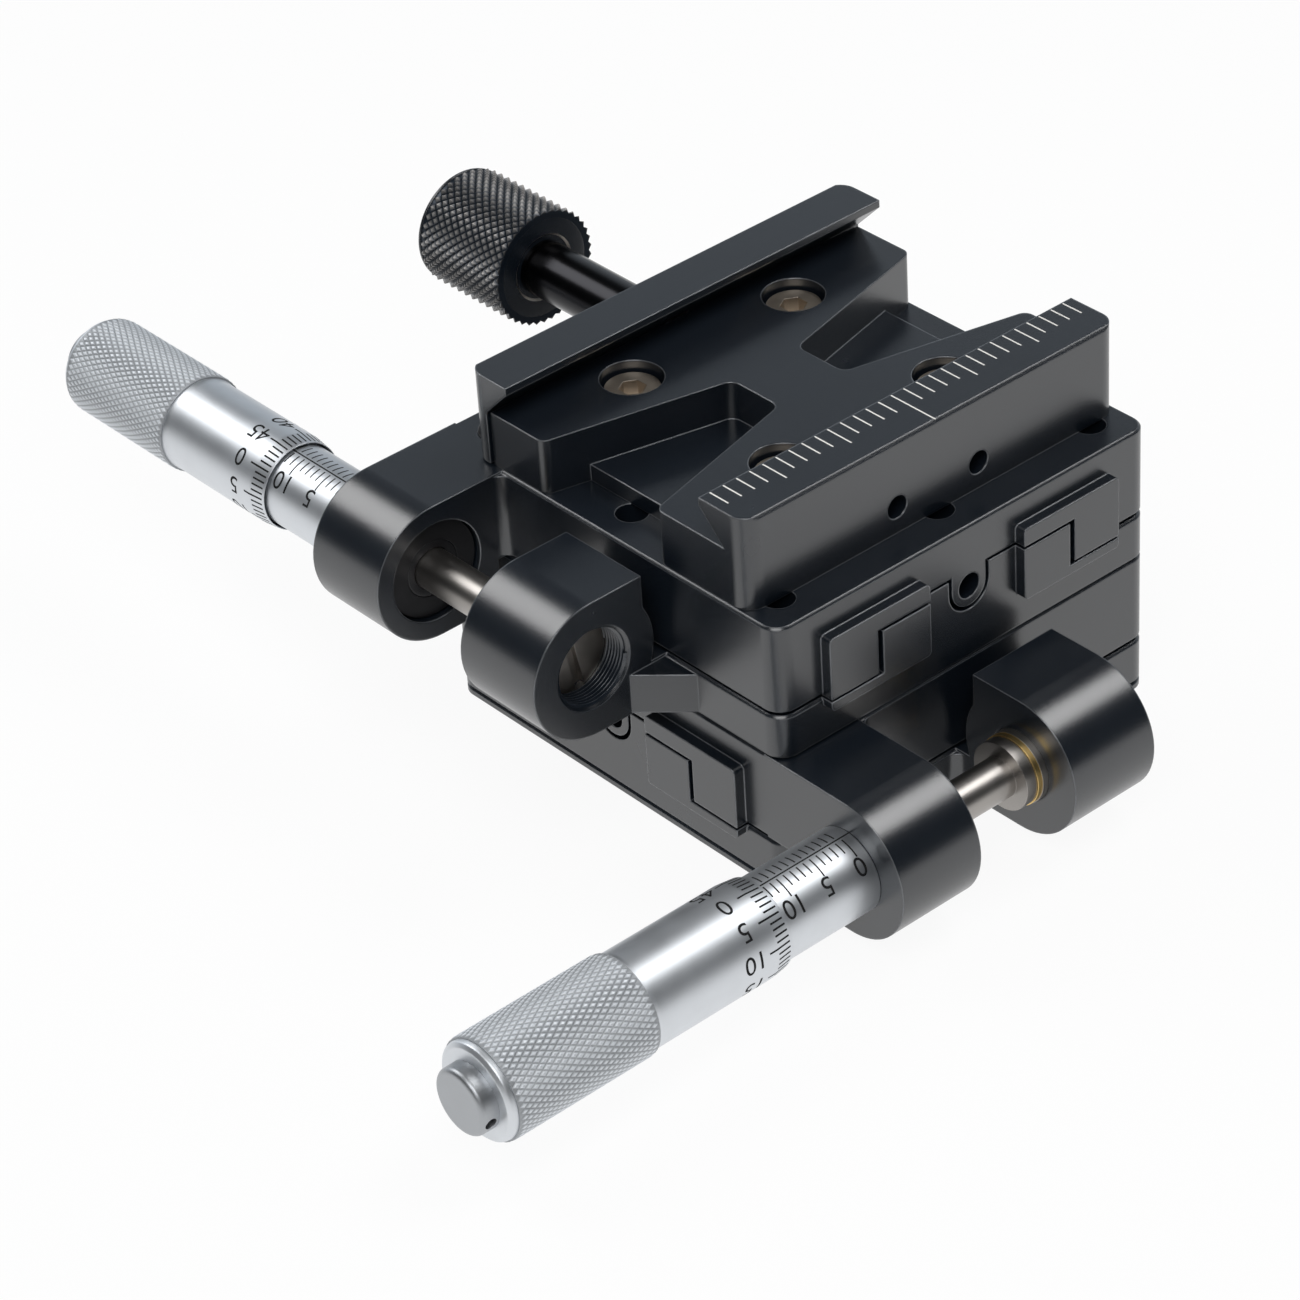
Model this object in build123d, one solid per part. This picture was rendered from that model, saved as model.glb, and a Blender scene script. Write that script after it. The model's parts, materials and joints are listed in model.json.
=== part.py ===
from build123d import *
import math
import os

# Cross-slide macro focusing rail. Two equal micrometer stages are crossed at 90 degrees and carry a
# dovetail plate clamp. Millimetres, +Z up. The origin is the centre of the underside, and +X is the
# upper stage's travel away from its micrometer head.

# ------------------------------------------------------------------ driving dimensions
# Plates of the two stages
plate_size = 60.0           # square side
plate_corner_r = 2.5
edge_break = 0.3            # small chamfer on machined edges
base_plate_t = 6.0
carriage_t = 11.8
slide_gap = 0.4             # air between a base plate and its carriage
cover_t = 1.25              # thin plate under the lower stage
travel = 25.0               # full travel of each stage

# Guideway between base and carriage
block_w = 30.2              # centre block of the base, across the travel
block_rise = 5.85           # block above the base plate
block_top_gap = 0.45
way_gap = 0.8               # air between the block's side and the carriage leg
rib_w = 5.4                 # centre rib under the carriage, with a round lower edge
rib_groove_gap = 0.55       # air around the rib in the base's groove
rib_clear = 0.85            # lowest point of the rib above the carriage's lower face
rail_len = 52.0
rail_w = 5.5
rail_h = 5.0
roller_d = 2.0
roller_len = 1.9
roller_play = 0.02
roller_count = 8            # in each of the four rows
roller_pitch = 5.0
cage_t = 0.3
cage_h = 4.0
cage_end = 2.5              # cage beyond its last roller's centre

# Screws of the rails
rail_screw_r = 0.95
rail_screw_head_r = 1.8
rail_screw_head_h = 1.9
rail_screw_pitch = 20.0
rail_screw_count = 3
rail_screw_inset = 2.25     # from the rail's back to the screw's axis
rail_screw_bite = 4.0       # thread beyond the rail
preload_screw_r = 1.45
preload_screw_len = 5.0
preload_screw_pitch = 20.0
preload_screw_count = 2

# End pads over the rail ends
pad_w = 15.7
pad_mid = 15.45             # centre of a pad from the middle of the plate
pad_low = 4.75              # pad's lower edge above the stage's underside
pad_h = 9.9
pad_out = 1.5
pad_corner_r = 0.6
rib_hole_r = 1.65           # tapped hole in each end of the rib
rib_hole_depth = 8.0

# Holes in the plates
grid_edge = 5.0             # tapped holes of a carriage from its plate's sides
tapped_r = 2.0
tapped_depth = 5.5
thread_fit = 0.05           # between a screw and the wall of its hole
screw_head_r = 3.4
screw_head_h = 4.0
head_fit = 0.2              # around and over a sunk screw head
key_across = 3.0
key_depth = 2.0
joint_screw_bite = 5.2      # thread in the lower carriage

# Arms that carry the micrometer head
boss_r = 9.0
spindle_out = 10.6          # spindle axis from the plate's side
sleeve_arm_t = 12.2
bearing_arm_t = 13.0
arms_apart = 2.8            # left between the arms at the end of the travel
sleeve_arm_gap = 1.5        # between the sleeve arm's lower part and the base plate
bearing_arm_gap = 2.9       # between the bearing arm's upright and the carriage
arm_root = 3.0              # arm let into its plate
arm_fillet_r = 1.5
gusset = 5.5
gusset_inset = 0.35

# Micrometer head
spindle_r = 2.6
running_fit = 0.05
sleeve_r = 5.35
sleeve_shank_r = 3.7
sleeve_thread_len = 14.0
sleeve_bore_r = 3.1
sleeve_cover = 5.6          # sleeve still inside the thimble at the end of the travel
sleeve_nut_r = 6.4
sleeve_nut_t = 2.6          # its face stays sunk, clear of the spindle's collar
arm_bore_r = 6.6            # counterbore for the sleeve's nut
arm_bore_depth = 3.5
thimble_clear = 1.4         # thimble to arm at zero reading
thimble_gap = 0.3           # between sleeve and thimble
thimble_wall = 0.4
thimble_bevel = 2.5
thimble_bevel_rise = 0.3
thimble_end_gap = 1.5
thimble_end_wall = 9.0
knurl_len = 20.0
knurl_rise = 0.4
knurl_end = 1.0             # knurl's end from the thimble's end
thimble_end_round = 0.8     # rounding of the thimble's end rim
cap_r = 4.15
cap_t = 2.3
cap_round = 0.7             # rounding of the cap's rim
cap_hole_r = 0.75
cap_hole_turn = 195.0       # cross hole's direction, from +Y towards +Z
cap_screw_r = 1.5
cap_screw_len = 5.0
cap_end_wall = 1.0

# Thrust end of the spindle
collar_r = 4.4
collar_t = 1.6
thrust_play = 0.05
washer_r = 4.54
washer_t = 0.7
ring_r = 4.63
ring_t = 2.1
ring_seat = 1.2             # ring sunk in the arm's face
journal_r = 2.0
bush_r = 3.5
bearing_web = 3.6           # length of the journal bush
spindle_nut_r = 3.2
spindle_nut_t = 1.8
plug_r = 5.0
plug_t = 2.0
plug_depth = 4.0            # plug's face below the mouth
plug_slot_w = 1.3
plug_slot_depth = 0.9
plug_slot_turn = 100.5      # slot's direction, from +Y towards +Z
mouth_break = 0.4

# Underside
bush_hole_r = 3.175         # 1/4 inch tripod thread
bush_wall = 1.9
bush_len = 6.4
cover_screw_grid = 36.0
cover_screw_r = 1.45
cover_screw_head_r = 2.6
cover_screw_len = 4.5

# Plate clamp
clamp_margin = 0.4          # clamp base from the plate's side, at each end
clamp_deck_t = 7.35
jaw_land = 1.0              # upright lip of a jaw
jaw_dovetail = 4.0          # 45 degree undercut
jaw_break = 0.4
fixed_jaw_inset = 4.8       # outer face of the fixed jaw from the plate's side
fixed_jaw_top = 7.7
channel_w = 41.15           # between the jaws at the deck
moving_jaw_t = 3.05
jaw_overhang = 0.4          # moving jaw beyond the clamp base, at each end
jaw_gap = 0.3               # moving jaw to clamp base, with the clamp closed
jaw_lift = 0.3              # moving jaw above the carriage
jaw_open = 6.0
clamp_corner_r = 2.5
pocket_mouth_w = 20.0
pocket_inner_w = 8.0
pocket_inner_y = 5.2
pocket_depth = 5.1
pocket_floor_y = 23.8       # the pocket goes right through from here to the end
pocket_corner_r = 1.6
pocket_mouth_r = 1.4
mount_land = 2.35           # deck left between a mount screw's bore and the clamp base's end
mount_screw_y = 13.0
mount_screw_sunk = 1.35
mount_screw_len = 6.6
mount_hole_depth = 5.0
mount_bore_r = 3.9
side_hole_r = 1.5           # tapped pair in the fixed jaw's outer face
side_hole_pitch = 13.0
side_hole_z = 3.8           # below the deck
side_hole_depth = 6.0
pin_r = 1.25
pin_edge = 2.3              # guide pins from the clamp base's ends
pin_z = 5.1                 # below the deck
pin_out = 1.2
pin_in = 8.0

# Clamp screw and knob
screw_z = 3.5               # below the deck
screw_r = 2.45
screw_in = 20.0             # thread inside the clamp base
screw_hole_spare = 3.0
shaft_r = 3.6
shaft_len = 22.05           # bare shaft between jaw and knob
clip_r = 3.6
clip_t = 0.8
clip_seat = 1.0
clip_gap = 0.2
knob_r = 7.8
knob_len = 15.9
knob_break = 0.5
knob_wall = 1.7             # knob beyond the shaft's end
hub_r = 4.3
hub_depth = 0.4

# ------------------------------------------------------------------ places that follow
half = plate_size / 2
half_travel = travel / 2
hole_grid = half - grid_edge
carriage_z = base_plate_t + slide_gap
stage_h = carriage_z + carriage_t
block_half = block_w / 2
block_top = base_plate_t + block_rise
recess_z = block_top + block_top_gap
leg_half = block_half + way_gap
way_z = (carriage_z + block_top) / 2
rail_low = way_z - rail_h / 2
rail_high = way_z + rail_h / 2
vee_depth = (roller_d * math.sqrt(2) - way_gap) / 2
rib_mid_z = carriage_z + rib_clear + rib_w / 2
groove_r = rib_w / 2 + rib_groove_gap

spindle_y = -half - spindle_out
spindle_z = stage_h - boss_r
sleeve_arm_front = -half + sleeve_arm_t
bearing_arm_face = sleeve_arm_front + half_travel + arms_apart
bearing_arm_back = bearing_arm_face + bearing_arm_t
thimble_front = -half - half_travel - thimble_clear
sleeve_end = thimble_front - half_travel - sleeve_cover
cavity_end = sleeve_end - half_travel - thimble_end_gap
thimble_end = cavity_end - thimble_end_wall
thimble_bore_r = sleeve_r + thimble_gap
thimble_r = thimble_bore_r + thimble_wall
sleeve_nut_seat = sleeve_arm_front - arm_bore_depth
ring_back = bearing_arm_face + ring_seat
ring_front = ring_back - ring_t
washer_front = ring_front - washer_t
collar_back = washer_front - thrust_play
collar_front = collar_back - collar_t
web_back = ring_back + bearing_web
spindle_nut_end = web_back + thrust_play + spindle_nut_t
plug_face = bearing_arm_back - plug_depth

upper_z = cover_t + stage_h
clamp_z = upper_z + stage_h
deck_z = clamp_z + clamp_deck_t
jaw_top_z = deck_z + jaw_dovetail + jaw_land
fixed_jaw_x = half - fixed_jaw_inset
fixed_lip_x = fixed_jaw_x - fixed_jaw_top
fixed_root_x = fixed_lip_x + jaw_dovetail
jaw_in_x = fixed_root_x - channel_w
jaw_out_x = jaw_in_x - moving_jaw_t
clamp_end_x = jaw_in_x + jaw_gap
mount_screw_x = -clamp_end_x - mount_bore_r - mount_land
clamp_len = plate_size - 2 * clamp_margin
clamp_half = clamp_len / 2
moving_jaw_len = clamp_len + 2 * jaw_overhang
pin_y = clamp_half - pin_edge
mount_seat_z = deck_z - mount_screw_sunk - screw_head_h
knob_face_x = jaw_out_x - running_fit - shaft_len
knob_end_x = knob_face_x - knob_len

cut = 1.0                   # a cutter passes a face by this


# ------------------------------------------------------------------ helpers
def box_between(x_low, x_high, y_low, y_high, z_low, z_high):
    """Box from its six faces."""
    size = Box(x_high - x_low, y_high - y_low, z_high - z_low, align=(Align.MIN, Align.MIN, Align.MIN))
    return Pos(x_low, y_low, z_low) * size


def rod_x(radius, x_low, x_high, y, z):
    """Round bar along X."""
    bar = Cylinder(radius, x_high - x_low, align=(Align.CENTER, Align.CENTER, Align.MIN))
    return Pos(x_low, y, z) * Rot(0, 90, 0) * bar


def rod_y(radius, y_low, y_high, x, z):
    """Round bar along Y."""
    bar = Cylinder(radius, y_high - y_low, align=(Align.CENTER, Align.CENTER, Align.MIN))
    return Pos(x, y_high, z) * Rot(90, 0, 0) * bar


def rod_z(radius, z_low, z_high, x, y):
    """Round bar along Z."""
    bar = Cylinder(radius, z_high - z_low, align=(Align.CENTER, Align.CENTER, Align.MIN))
    return Pos(x, y, z_low) * bar


def turned_x(profile, y, z):
    """Solid turned about a line along X, from (x, radius) points."""
    return Pos(0, y, z) * revolve(make_face(Polyline(*profile, close=True)), Axis.X)


def rounded_end(body, radius):
    """The body with the rim of its lowest end along X rounded."""
    return fillet(body.faces().sort_by(Axis.X)[0].outer_wire().edges(), radius)


def across_x(outline, x_low, x_high):
    """Solid along X from a closed outline of (y, z) points."""
    face = Plane.YZ * make_face(Polyline(*outline, close=True))
    return Pos(x_low, 0, 0) * extrude(face, x_high - x_low)


def plate(side, corner_r, z_low, z_high):
    """Square plate with rounded corners and broken rims."""
    body = extrude(Pos(0, 0, z_low) * RectangleRounded(side, side, corner_r), z_high - z_low)
    rims = body.faces().sort_by(Axis.Z)[-1].edges() + body.faces().sort_by(Axis.Z)[0].edges()
    return chamfer(rims, edge_break)


def spots(pitch, count):
    """Evenly spaced places about zero."""
    return [(number - (count - 1) / 2) * pitch for number in range(count)]


def corners(x, y):
    """The four corners of a centred rectangle."""
    return [(side_x * x, side_y * y) for side_x in (-1, 1) for side_y in (-1, 1)]


def group(shapes):
    """Several separate solids in one node."""
    return Compound([solid for shape in shapes for solid in shape.solids()])


def socket_screw(radius, length, head_r, head_h, across, depth):
    """Socket-head screw, seat at z = 0, shank downwards."""
    body = rod_z(head_r, 0, head_h, 0, 0) + rod_z(radius, -length, 0, 0, 0)
    key = extrude(Pos(0, 0, head_h - depth) * RegularPolygon(across / 2, 6, major_radius=False), depth + cut)
    return body - key


def plain_screw(radius, length, head_r, head_h):
    """Low round-head screw for hidden places, seat at z = 0, shank downwards."""
    return rod_z(head_r, 0, head_h, 0, 0) + rod_z(radius, -length, 0, 0, 0)


# ------------------------------------------------------------------ guideway
def vee_rail(face_y, outward):
    """One V rail: its race at face_y and its body on the side that outward (+1 or -1) gives."""
    back_y = face_y + outward * rail_w
    outline = [
        (back_y, rail_low),
        (face_y, rail_low),
        (face_y, way_z - vee_depth),
        (face_y + outward * vee_depth, way_z),
        (face_y, way_z + vee_depth),
        (face_y, rail_high),
        (back_y, rail_high),
    ]
    return across_x(outline, -rail_len / 2, rail_len / 2)


def inner_rail_screw_places():
    """Axes of the inner rails' screws, as (x, y)."""
    y = block_half - rail_w + rail_screw_inset
    return [(x, side * y) for x in spots(rail_screw_pitch, rail_screw_count) for side in (-1, 1)]


def outer_rail_screw_places():
    """Axes of the outer rails' screws, as (x, y)."""
    y = leg_half + rail_w - rail_screw_inset
    return [(x, side * y) for x in spots(rail_screw_pitch, rail_screw_count) for side in (-1, 1)]


def rail_screw_head_z():
    """How far a rail screw's seat is sunk in the rail."""
    return rail_screw_head_h + head_fit


def inner_rails():
    """Pair of V rails on the base's centre block, drilled from above."""
    rails = vee_rail(block_half, -1) + vee_rail(-block_half, 1)
    for x, y in inner_rail_screw_places():
        rails -= rod_z(rail_screw_head_r + head_fit, rail_high - rail_screw_head_z(), rail_high + cut, x, y)
        rails -= rod_z(rail_screw_r + thread_fit, rail_low - cut, rail_high, x, y)
    return group([rails])


def inner_rail_screws():
    """Screws of the inner rails, heads up."""
    length = rail_h - rail_screw_head_z() + rail_screw_bite
    screw = plain_screw(rail_screw_r, length, rail_screw_head_r, rail_screw_head_h)
    seat = rail_high - rail_screw_head_z()
    return group([Pos(x, y, seat) * screw for x, y in inner_rail_screw_places()])


def outer_rails():
    """Pair of V rails in the carriage's legs, drilled from below."""
    rails = vee_rail(leg_half, 1) + vee_rail(-leg_half, -1)
    for x, y in outer_rail_screw_places():
        rails -= rod_z(rail_screw_head_r + head_fit, rail_low - cut, rail_low + rail_screw_head_z(), x, y)
        rails -= rod_z(rail_screw_r + thread_fit, rail_low, rail_high + cut, x, y)
    return group([rails])


def outer_rail_screws():
    """Screws of the outer rails, heads down."""
    length = rail_h - rail_screw_head_z() + rail_screw_bite
    screw = plain_screw(rail_screw_r, length, rail_screw_head_r, rail_screw_head_h)
    seat = rail_low + rail_screw_head_z()
    return group([Pos(x, y, seat) * Rot(180, 0, 0) * screw for x, y in outer_rail_screw_places()])


def roller_places():
    """Roller centres as (x, y, lean), with the lean turning over from one roller to the next."""
    way_mid = block_half + way_gap / 2
    rows = []
    for side in (-1, 1):
        for number, x in enumerate(spots(roller_pitch, roller_count)):
            rows.append((x, side * way_mid, 45 if number % 2 else -45))
    return rows


def crossed_rollers():
    """Rollers that lie in the V races, each turned 90 degrees to its neighbours."""
    roller = Cylinder(roller_d / 2 - roller_play, roller_len)
    return group([Pos(x, y, way_z) * Rot(lean, 0, 0) * roller for x, y, lean in roller_places()])


def roller_cages():
    """Thin strips that space the rollers."""
    way_mid = block_half + way_gap / 2
    reach = (roller_count - 1) * roller_pitch / 2 + cage_end
    window_r = (roller_d + roller_len) / 2 / math.sqrt(2) + running_fit
    strips = []
    for side in (-1, 1):
        y = side * way_mid
        low_z, high_z = way_z - cage_h / 2, way_z + cage_h / 2
        strip = box_between(-reach, reach, y - cage_t / 2, y + cage_t / 2, low_z, high_z)
        for x in spots(roller_pitch, roller_count):
            strip -= rod_y(window_r, y - cage_t, y + cage_t, x, way_z)
        strips.append(strip)
    return group(strips)


# ------------------------------------------------------------------ stage bodies
def pad_prisms():
    """The four raised rectangles over the rail ends, running the stage's whole length."""
    prisms = []
    for side in (-1, 1):
        outline = RectangleRounded(pad_w, pad_h, pad_corner_r)
        face = Plane.YZ * Pos(side * pad_mid, pad_low + pad_h / 2) * outline
        prisms.append(extrude(face, half + pad_out, both=True))
    return prisms[0] + prisms[1]


def rib_outline(radius, top):
    """Round-bottomed upright section at the middle of the plate, as a face across X."""
    disc = Pos(0, rib_mid_z) * Circle(radius)
    upright = Pos(0, rib_mid_z) * Rectangle(2 * radius, top - rib_mid_z, align=(Align.CENTER, Align.MIN))
    return Plane.YZ * (disc + upright)


def arm_fillet(face_x, outward, z_low, z_high):
    """Hollow corner between an arm's face and the plate's side; outward is the way the face looks."""
    corner_x = face_x + outward * arm_fillet_r
    block = box_between(
        min(face_x, corner_x), max(face_x, corner_x), -half - arm_fillet_r, -half + arm_root, z_low, z_high
    )
    return block - rod_z(arm_fillet_r, z_low - cut, z_high + cut, corner_x, -half - arm_fillet_r)


def base_arm():
    """Bearing arm of the base, with its gusset."""
    upright_y = -half - bearing_arm_gap
    low = spindle_z - boss_r
    arm = rod_x(boss_r, bearing_arm_face, bearing_arm_back, spindle_y, spindle_z)
    arm += box_between(bearing_arm_face, bearing_arm_back, spindle_y, upright_y, low, spindle_z + boss_r)
    arm += box_between(bearing_arm_face, bearing_arm_back, spindle_y, -half + arm_root, low, base_plate_t)
    web = Polyline(
        (bearing_arm_back, -half - gusset),
        (bearing_arm_back + gusset, -half),
        (bearing_arm_back + gusset, -half + arm_root),
        (bearing_arm_back, -half + arm_root),
        close=True,
    )
    web_h = base_plate_t - 2 * gusset_inset
    arm += extrude(Pos(0, 0, gusset_inset) * make_face(web), web_h)
    arm += arm_fillet(bearing_arm_face, -1, gusset_inset, base_plate_t - gusset_inset)
    return arm


def bearing_bores():
    """Ring seat, bush bore and threaded rear bore of the bearing arm."""
    bores = rod_x(ring_r + thread_fit, bearing_arm_face - cut, ring_back, spindle_y, spindle_z)
    bores += rod_x(bush_r, ring_back - cut, web_back + cut, spindle_y, spindle_z)
    mouth = [
        (web_back, 0),
        (web_back, plug_r + thread_fit),
        (bearing_arm_back - mouth_break, plug_r + thread_fit),
        (bearing_arm_back, plug_r + thread_fit + mouth_break),
        (bearing_arm_back + cut, plug_r + thread_fit + mouth_break),
        (bearing_arm_back + cut, 0),
    ]
    return bores + turned_x(mouth, spindle_y, spindle_z)


def stage_base():
    """Base of a stage: plate, grooved centre block, end pads and bearing arm."""
    block = box_between(-half, half, -block_half, block_half, base_plate_t - cut, block_top)
    block = chamfer(block.faces().sort_by(Axis.Z)[-1].edges().filter_by(Axis.X), edge_break)
    body = plate(plate_size, plate_corner_r, 0, base_plate_t) + block
    long_half = half + pad_out
    section = box_between(-long_half, long_half, -half, half, edge_break, base_plate_t)
    section += box_between(-long_half, long_half, -block_half, block_half, edge_break, block_top)
    body += section & pad_prisms()
    body -= extrude(rib_outline(groove_r, block_top + cut), long_half + cut, both=True)
    body += base_arm()
    for side in (-1, 1):
        low_y, high_y = sorted((side * (block_half - rail_w), side * (block_half + way_gap / 2)))
        body -= box_between(-rail_len / 2, rail_len / 2, low_y, high_y, rail_low, block_top + cut)
    for x, y in inner_rail_screw_places():
        body -= rod_z(rail_screw_r + thread_fit, rail_low - rail_screw_bite - head_fit, rail_low + cut, x, y)
    for x, y in corners(hole_grid, hole_grid):
        body -= rod_z(tapped_r + head_fit, -cut, base_plate_t + cut, x, y)
        head_seat = base_plate_t - screw_head_h - head_fit
        body -= rod_z(screw_head_r + head_fit, head_seat, base_plate_t + cut, x, y)
    return body - bearing_bores()


def carriage_arm():
    """Sleeve arm of the carriage."""
    low = spindle_z - boss_r
    lower_y = -half - sleeve_arm_gap
    arm = rod_x(boss_r, -half, sleeve_arm_front, spindle_y, spindle_z)
    arm += box_between(-half, sleeve_arm_front, spindle_y, lower_y, low, stage_h)
    arm += box_between(-half, sleeve_arm_front, lower_y - cut, -half + arm_root, carriage_z, stage_h)
    arm += arm_fillet(sleeve_arm_front, 1, carriage_z + edge_break, stage_h - edge_break)
    arm -= rod_x(sleeve_shank_r + thread_fit, -half - cut, sleeve_arm_front, spindle_y, spindle_z)
    arm -= rod_x(arm_bore_r, sleeve_nut_seat, sleeve_arm_front + cut, spindle_y, spindle_z)
    return arm


def carriage(extra_holes):
    """Carriage of a stage; extra_holes are further tapped places in its top, as (x, y)."""
    recess_half = half + pad_out + cut
    body = plate(plate_size, plate_corner_r, carriage_z, stage_h)
    pads = pad_prisms() & box_between(-half - pad_out, half + pad_out, -half, half, carriage_z, stage_h)
    body += pads
    body -= box_between(-recess_half, recess_half, -leg_half, leg_half, carriage_z - cut, recess_z)
    body += extrude(rib_outline(rib_w / 2, recess_z + cut), half, both=True)
    body += carriage_arm()
    for side in (-1, 1):
        low_y, high_y = sorted((side * (leg_half - way_gap / 2), side * (leg_half + rail_w)))
        body -= box_between(-rail_len / 2, rail_len / 2, low_y, high_y, carriage_z - cut, rail_high)
        body -= rod_x(rib_hole_r, side * half - rib_hole_depth, side * half + rib_hole_depth, 0, rib_mid_z)
    for x, y in outer_rail_screw_places():
        bore_end = rail_high + rail_screw_bite + head_fit
        body -= rod_z(rail_screw_r + thread_fit, rail_high - cut, bore_end, x, y)
    for x in spots(preload_screw_pitch, preload_screw_count):
        body -= rod_y(preload_screw_r + thread_fit, leg_half + rail_w - cut, half + cut, x, way_z)
    for x, y in corners(hole_grid, hole_grid):
        body -= rod_z(tapped_r, carriage_z - cut, stage_h + cut, x, y)
    for x, y in ((hole_grid, 0), (-hole_grid, 0), (0, hole_grid), (0, -hole_grid)):
        body -= rod_z(tapped_r, stage_h - tapped_depth, stage_h + cut, x, y)
    for x, y in extra_holes:
        body -= rod_z(tapped_r, stage_h - mount_hole_depth, stage_h + cut, x, y)
    return body


def preload_screws():
    """Set screws that push the far outer rail towards the rollers."""
    start = leg_half + rail_w
    key = extrude(Plane.XZ * RegularPolygon(preload_screw_r / 2, 6), -preload_screw_len / 3)
    screw = rod_y(preload_screw_r, 0, preload_screw_len, 0, 0) - Pos(0, preload_screw_len * 2 / 3, 0) * key
    return group([Pos(x, start, way_z) * screw for x in spots(preload_screw_pitch, preload_screw_count)])


# ------------------------------------------------------------------ micrometer head
def sleeve():
    """Scale sleeve, held in the carriage's arm by its shank."""
    shank_end = sleeve_nut_seat + sleeve_nut_t
    thread_end = shank_end - sleeve_thread_len
    profile = [
        (shank_end, spindle_r + running_fit),
        (shank_end, sleeve_shank_r),
        (-half, sleeve_shank_r),
        (-half, sleeve_r),
        (sleeve_end, sleeve_r),
        (sleeve_end, sleeve_bore_r),
        (thread_end, sleeve_bore_r),
        (thread_end, spindle_r + running_fit),
    ]
    return turned_x(profile, spindle_y, spindle_z)


def sleeve_nut():
    """Round nut on the sleeve's shank, in the arm's counterbore."""
    outer = rod_x(sleeve_nut_r, sleeve_nut_seat, sleeve_nut_seat + sleeve_nut_t, spindle_y, spindle_z)
    bore_r = sleeve_shank_r + thread_fit
    return outer - rod_x(bore_r, sleeve_nut_seat - cut, sleeve_arm_front, spindle_y, spindle_z)


def spindle():
    """Steel spindle with its thrust collar and journal, tapped for the cap."""
    end = thimble_end + cap_end_wall
    profile = [
        (end, 0),
        (end, spindle_r),
        (collar_front, spindle_r),
        (collar_front, collar_r),
        (collar_back, collar_r),
        (collar_back, journal_r),
        (spindle_nut_end, journal_r),
        (spindle_nut_end, 0),
    ]
    hole = rod_x(cap_screw_r + thread_fit, end - cut, end + cap_screw_len, spindle_y, spindle_z)
    return turned_x(profile, spindle_y, spindle_z) - hole


def spindle_nut():
    """Nut that keeps the journal in its bush."""
    start = web_back + thrust_play
    outer = rod_x(spindle_nut_r, start, spindle_nut_end, spindle_y, spindle_z)
    return outer - rod_x(journal_r + thread_fit, start - cut, spindle_nut_end + cut, spindle_y, spindle_z)


def thimble():
    """Thimble with a bevelled scale edge and a raised grip."""
    grip_end = thimble_end + knurl_end
    grip_start = grip_end + knurl_len
    grip_r = thimble_r + knurl_rise
    profile = [
        (thimble_front, thimble_bore_r),
        (thimble_front, thimble_r - thimble_bevel_rise),
        (thimble_front - thimble_bevel, thimble_r),
        (grip_start + knurl_rise, thimble_r),
        (grip_start, grip_r),
        (thimble_end, grip_r),
        (thimble_end, cap_screw_r + thread_fit),
        (thimble_end + cap_end_wall, cap_screw_r + thread_fit),
        (thimble_end + cap_end_wall, spindle_r + thread_fit),
        (cavity_end, spindle_r + thread_fit),
        (cavity_end, thimble_bore_r),
    ]
    return rounded_end(turned_x(profile, spindle_y, spindle_z), thimble_end_round)


def thimble_cap():
    """Cap screw at the thimble's end, with a cross hole."""
    head = rounded_end(rod_x(cap_r, thimble_end - cap_t, thimble_end, spindle_y, spindle_z), cap_round)
    screw_end = thimble_end + cap_end_wall + cap_screw_len
    cap = head + rod_x(cap_screw_r, thimble_end, screw_end, spindle_y, spindle_z)
    hole = rod_y(cap_hole_r, 0, cap_r + cut, thimble_end - cap_t / 2, 0)
    return cap - Pos(0, spindle_y, spindle_z) * Rot(cap_hole_turn, 0, 0) * hole


def thrust_washer():
    """Brass washer behind the spindle's collar."""
    disc = rod_x(washer_r, washer_front, ring_front, spindle_y, spindle_z)
    return disc - rod_x(journal_r + running_fit, washer_front - cut, ring_front + cut, spindle_y, spindle_z)


def thrust_ring():
    """Steel ring sunk in the bearing arm's face."""
    disc = rod_x(ring_r, ring_front, ring_back, spindle_y, spindle_z)
    return disc - rod_x(journal_r + running_fit, ring_front - cut, ring_back + cut, spindle_y, spindle_z)


def journal_bush():
    """Plain bush for the spindle's journal."""
    tube = rod_x(bush_r, ring_back, web_back, spindle_y, spindle_z)
    return tube - rod_x(journal_r + running_fit, ring_back - cut, web_back + cut, spindle_y, spindle_z)


def bearing_plug():
    """Slotted plug that closes the bearing arm's rear bore."""
    disc = rod_x(plug_r, plug_face - plug_t, plug_face, spindle_y, spindle_z)
    slot_low = plug_face - plug_slot_depth
    slot = box_between(slot_low, plug_face + cut, -plug_r, plug_r, -plug_slot_w / 2, plug_slot_w / 2)
    return disc - Pos(0, spindle_y, spindle_z) * Rot(plug_slot_turn, 0, 0) * slot


# ------------------------------------------------------------------ underside and joining screws
def cover_screw():
    """Flat-head screw, its face at z = 0 and its shank upwards."""
    profile = [
        (0, 0),
        (0, cover_screw_head_r),
        (cover_screw_head_r - cover_screw_r, cover_screw_r),
        (cover_screw_len, cover_screw_r),
        (cover_screw_len, 0),
    ]
    body = Rot(0, -90, 0) * turned_x(profile, 0, 0)
    recess = extrude(RegularPolygon(cover_screw_r / 2, 6), cover_screw_r / 2)
    return body - recess


def base_cover_plate():
    """Thin plate under the lower base, with sunk screw holes."""
    body = plate(plate_size, plate_corner_r, 0, cover_t)
    body -= rod_z(bush_hole_r + bush_wall, -cut, cover_t + cut, 0, 0)
    for x, y in corners(cover_screw_grid / 2, cover_screw_grid / 2):
        sink = cover_screw_head_r - cover_screw_r
        cone = Cone(cover_screw_head_r, cover_screw_r, sink, align=(Align.CENTER, Align.CENTER, Align.MIN))
        body -= Pos(x, y, 0) * cone
        body -= rod_z(cover_screw_r + thread_fit, 0, cover_t + cut, x, y)
    return body


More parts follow.
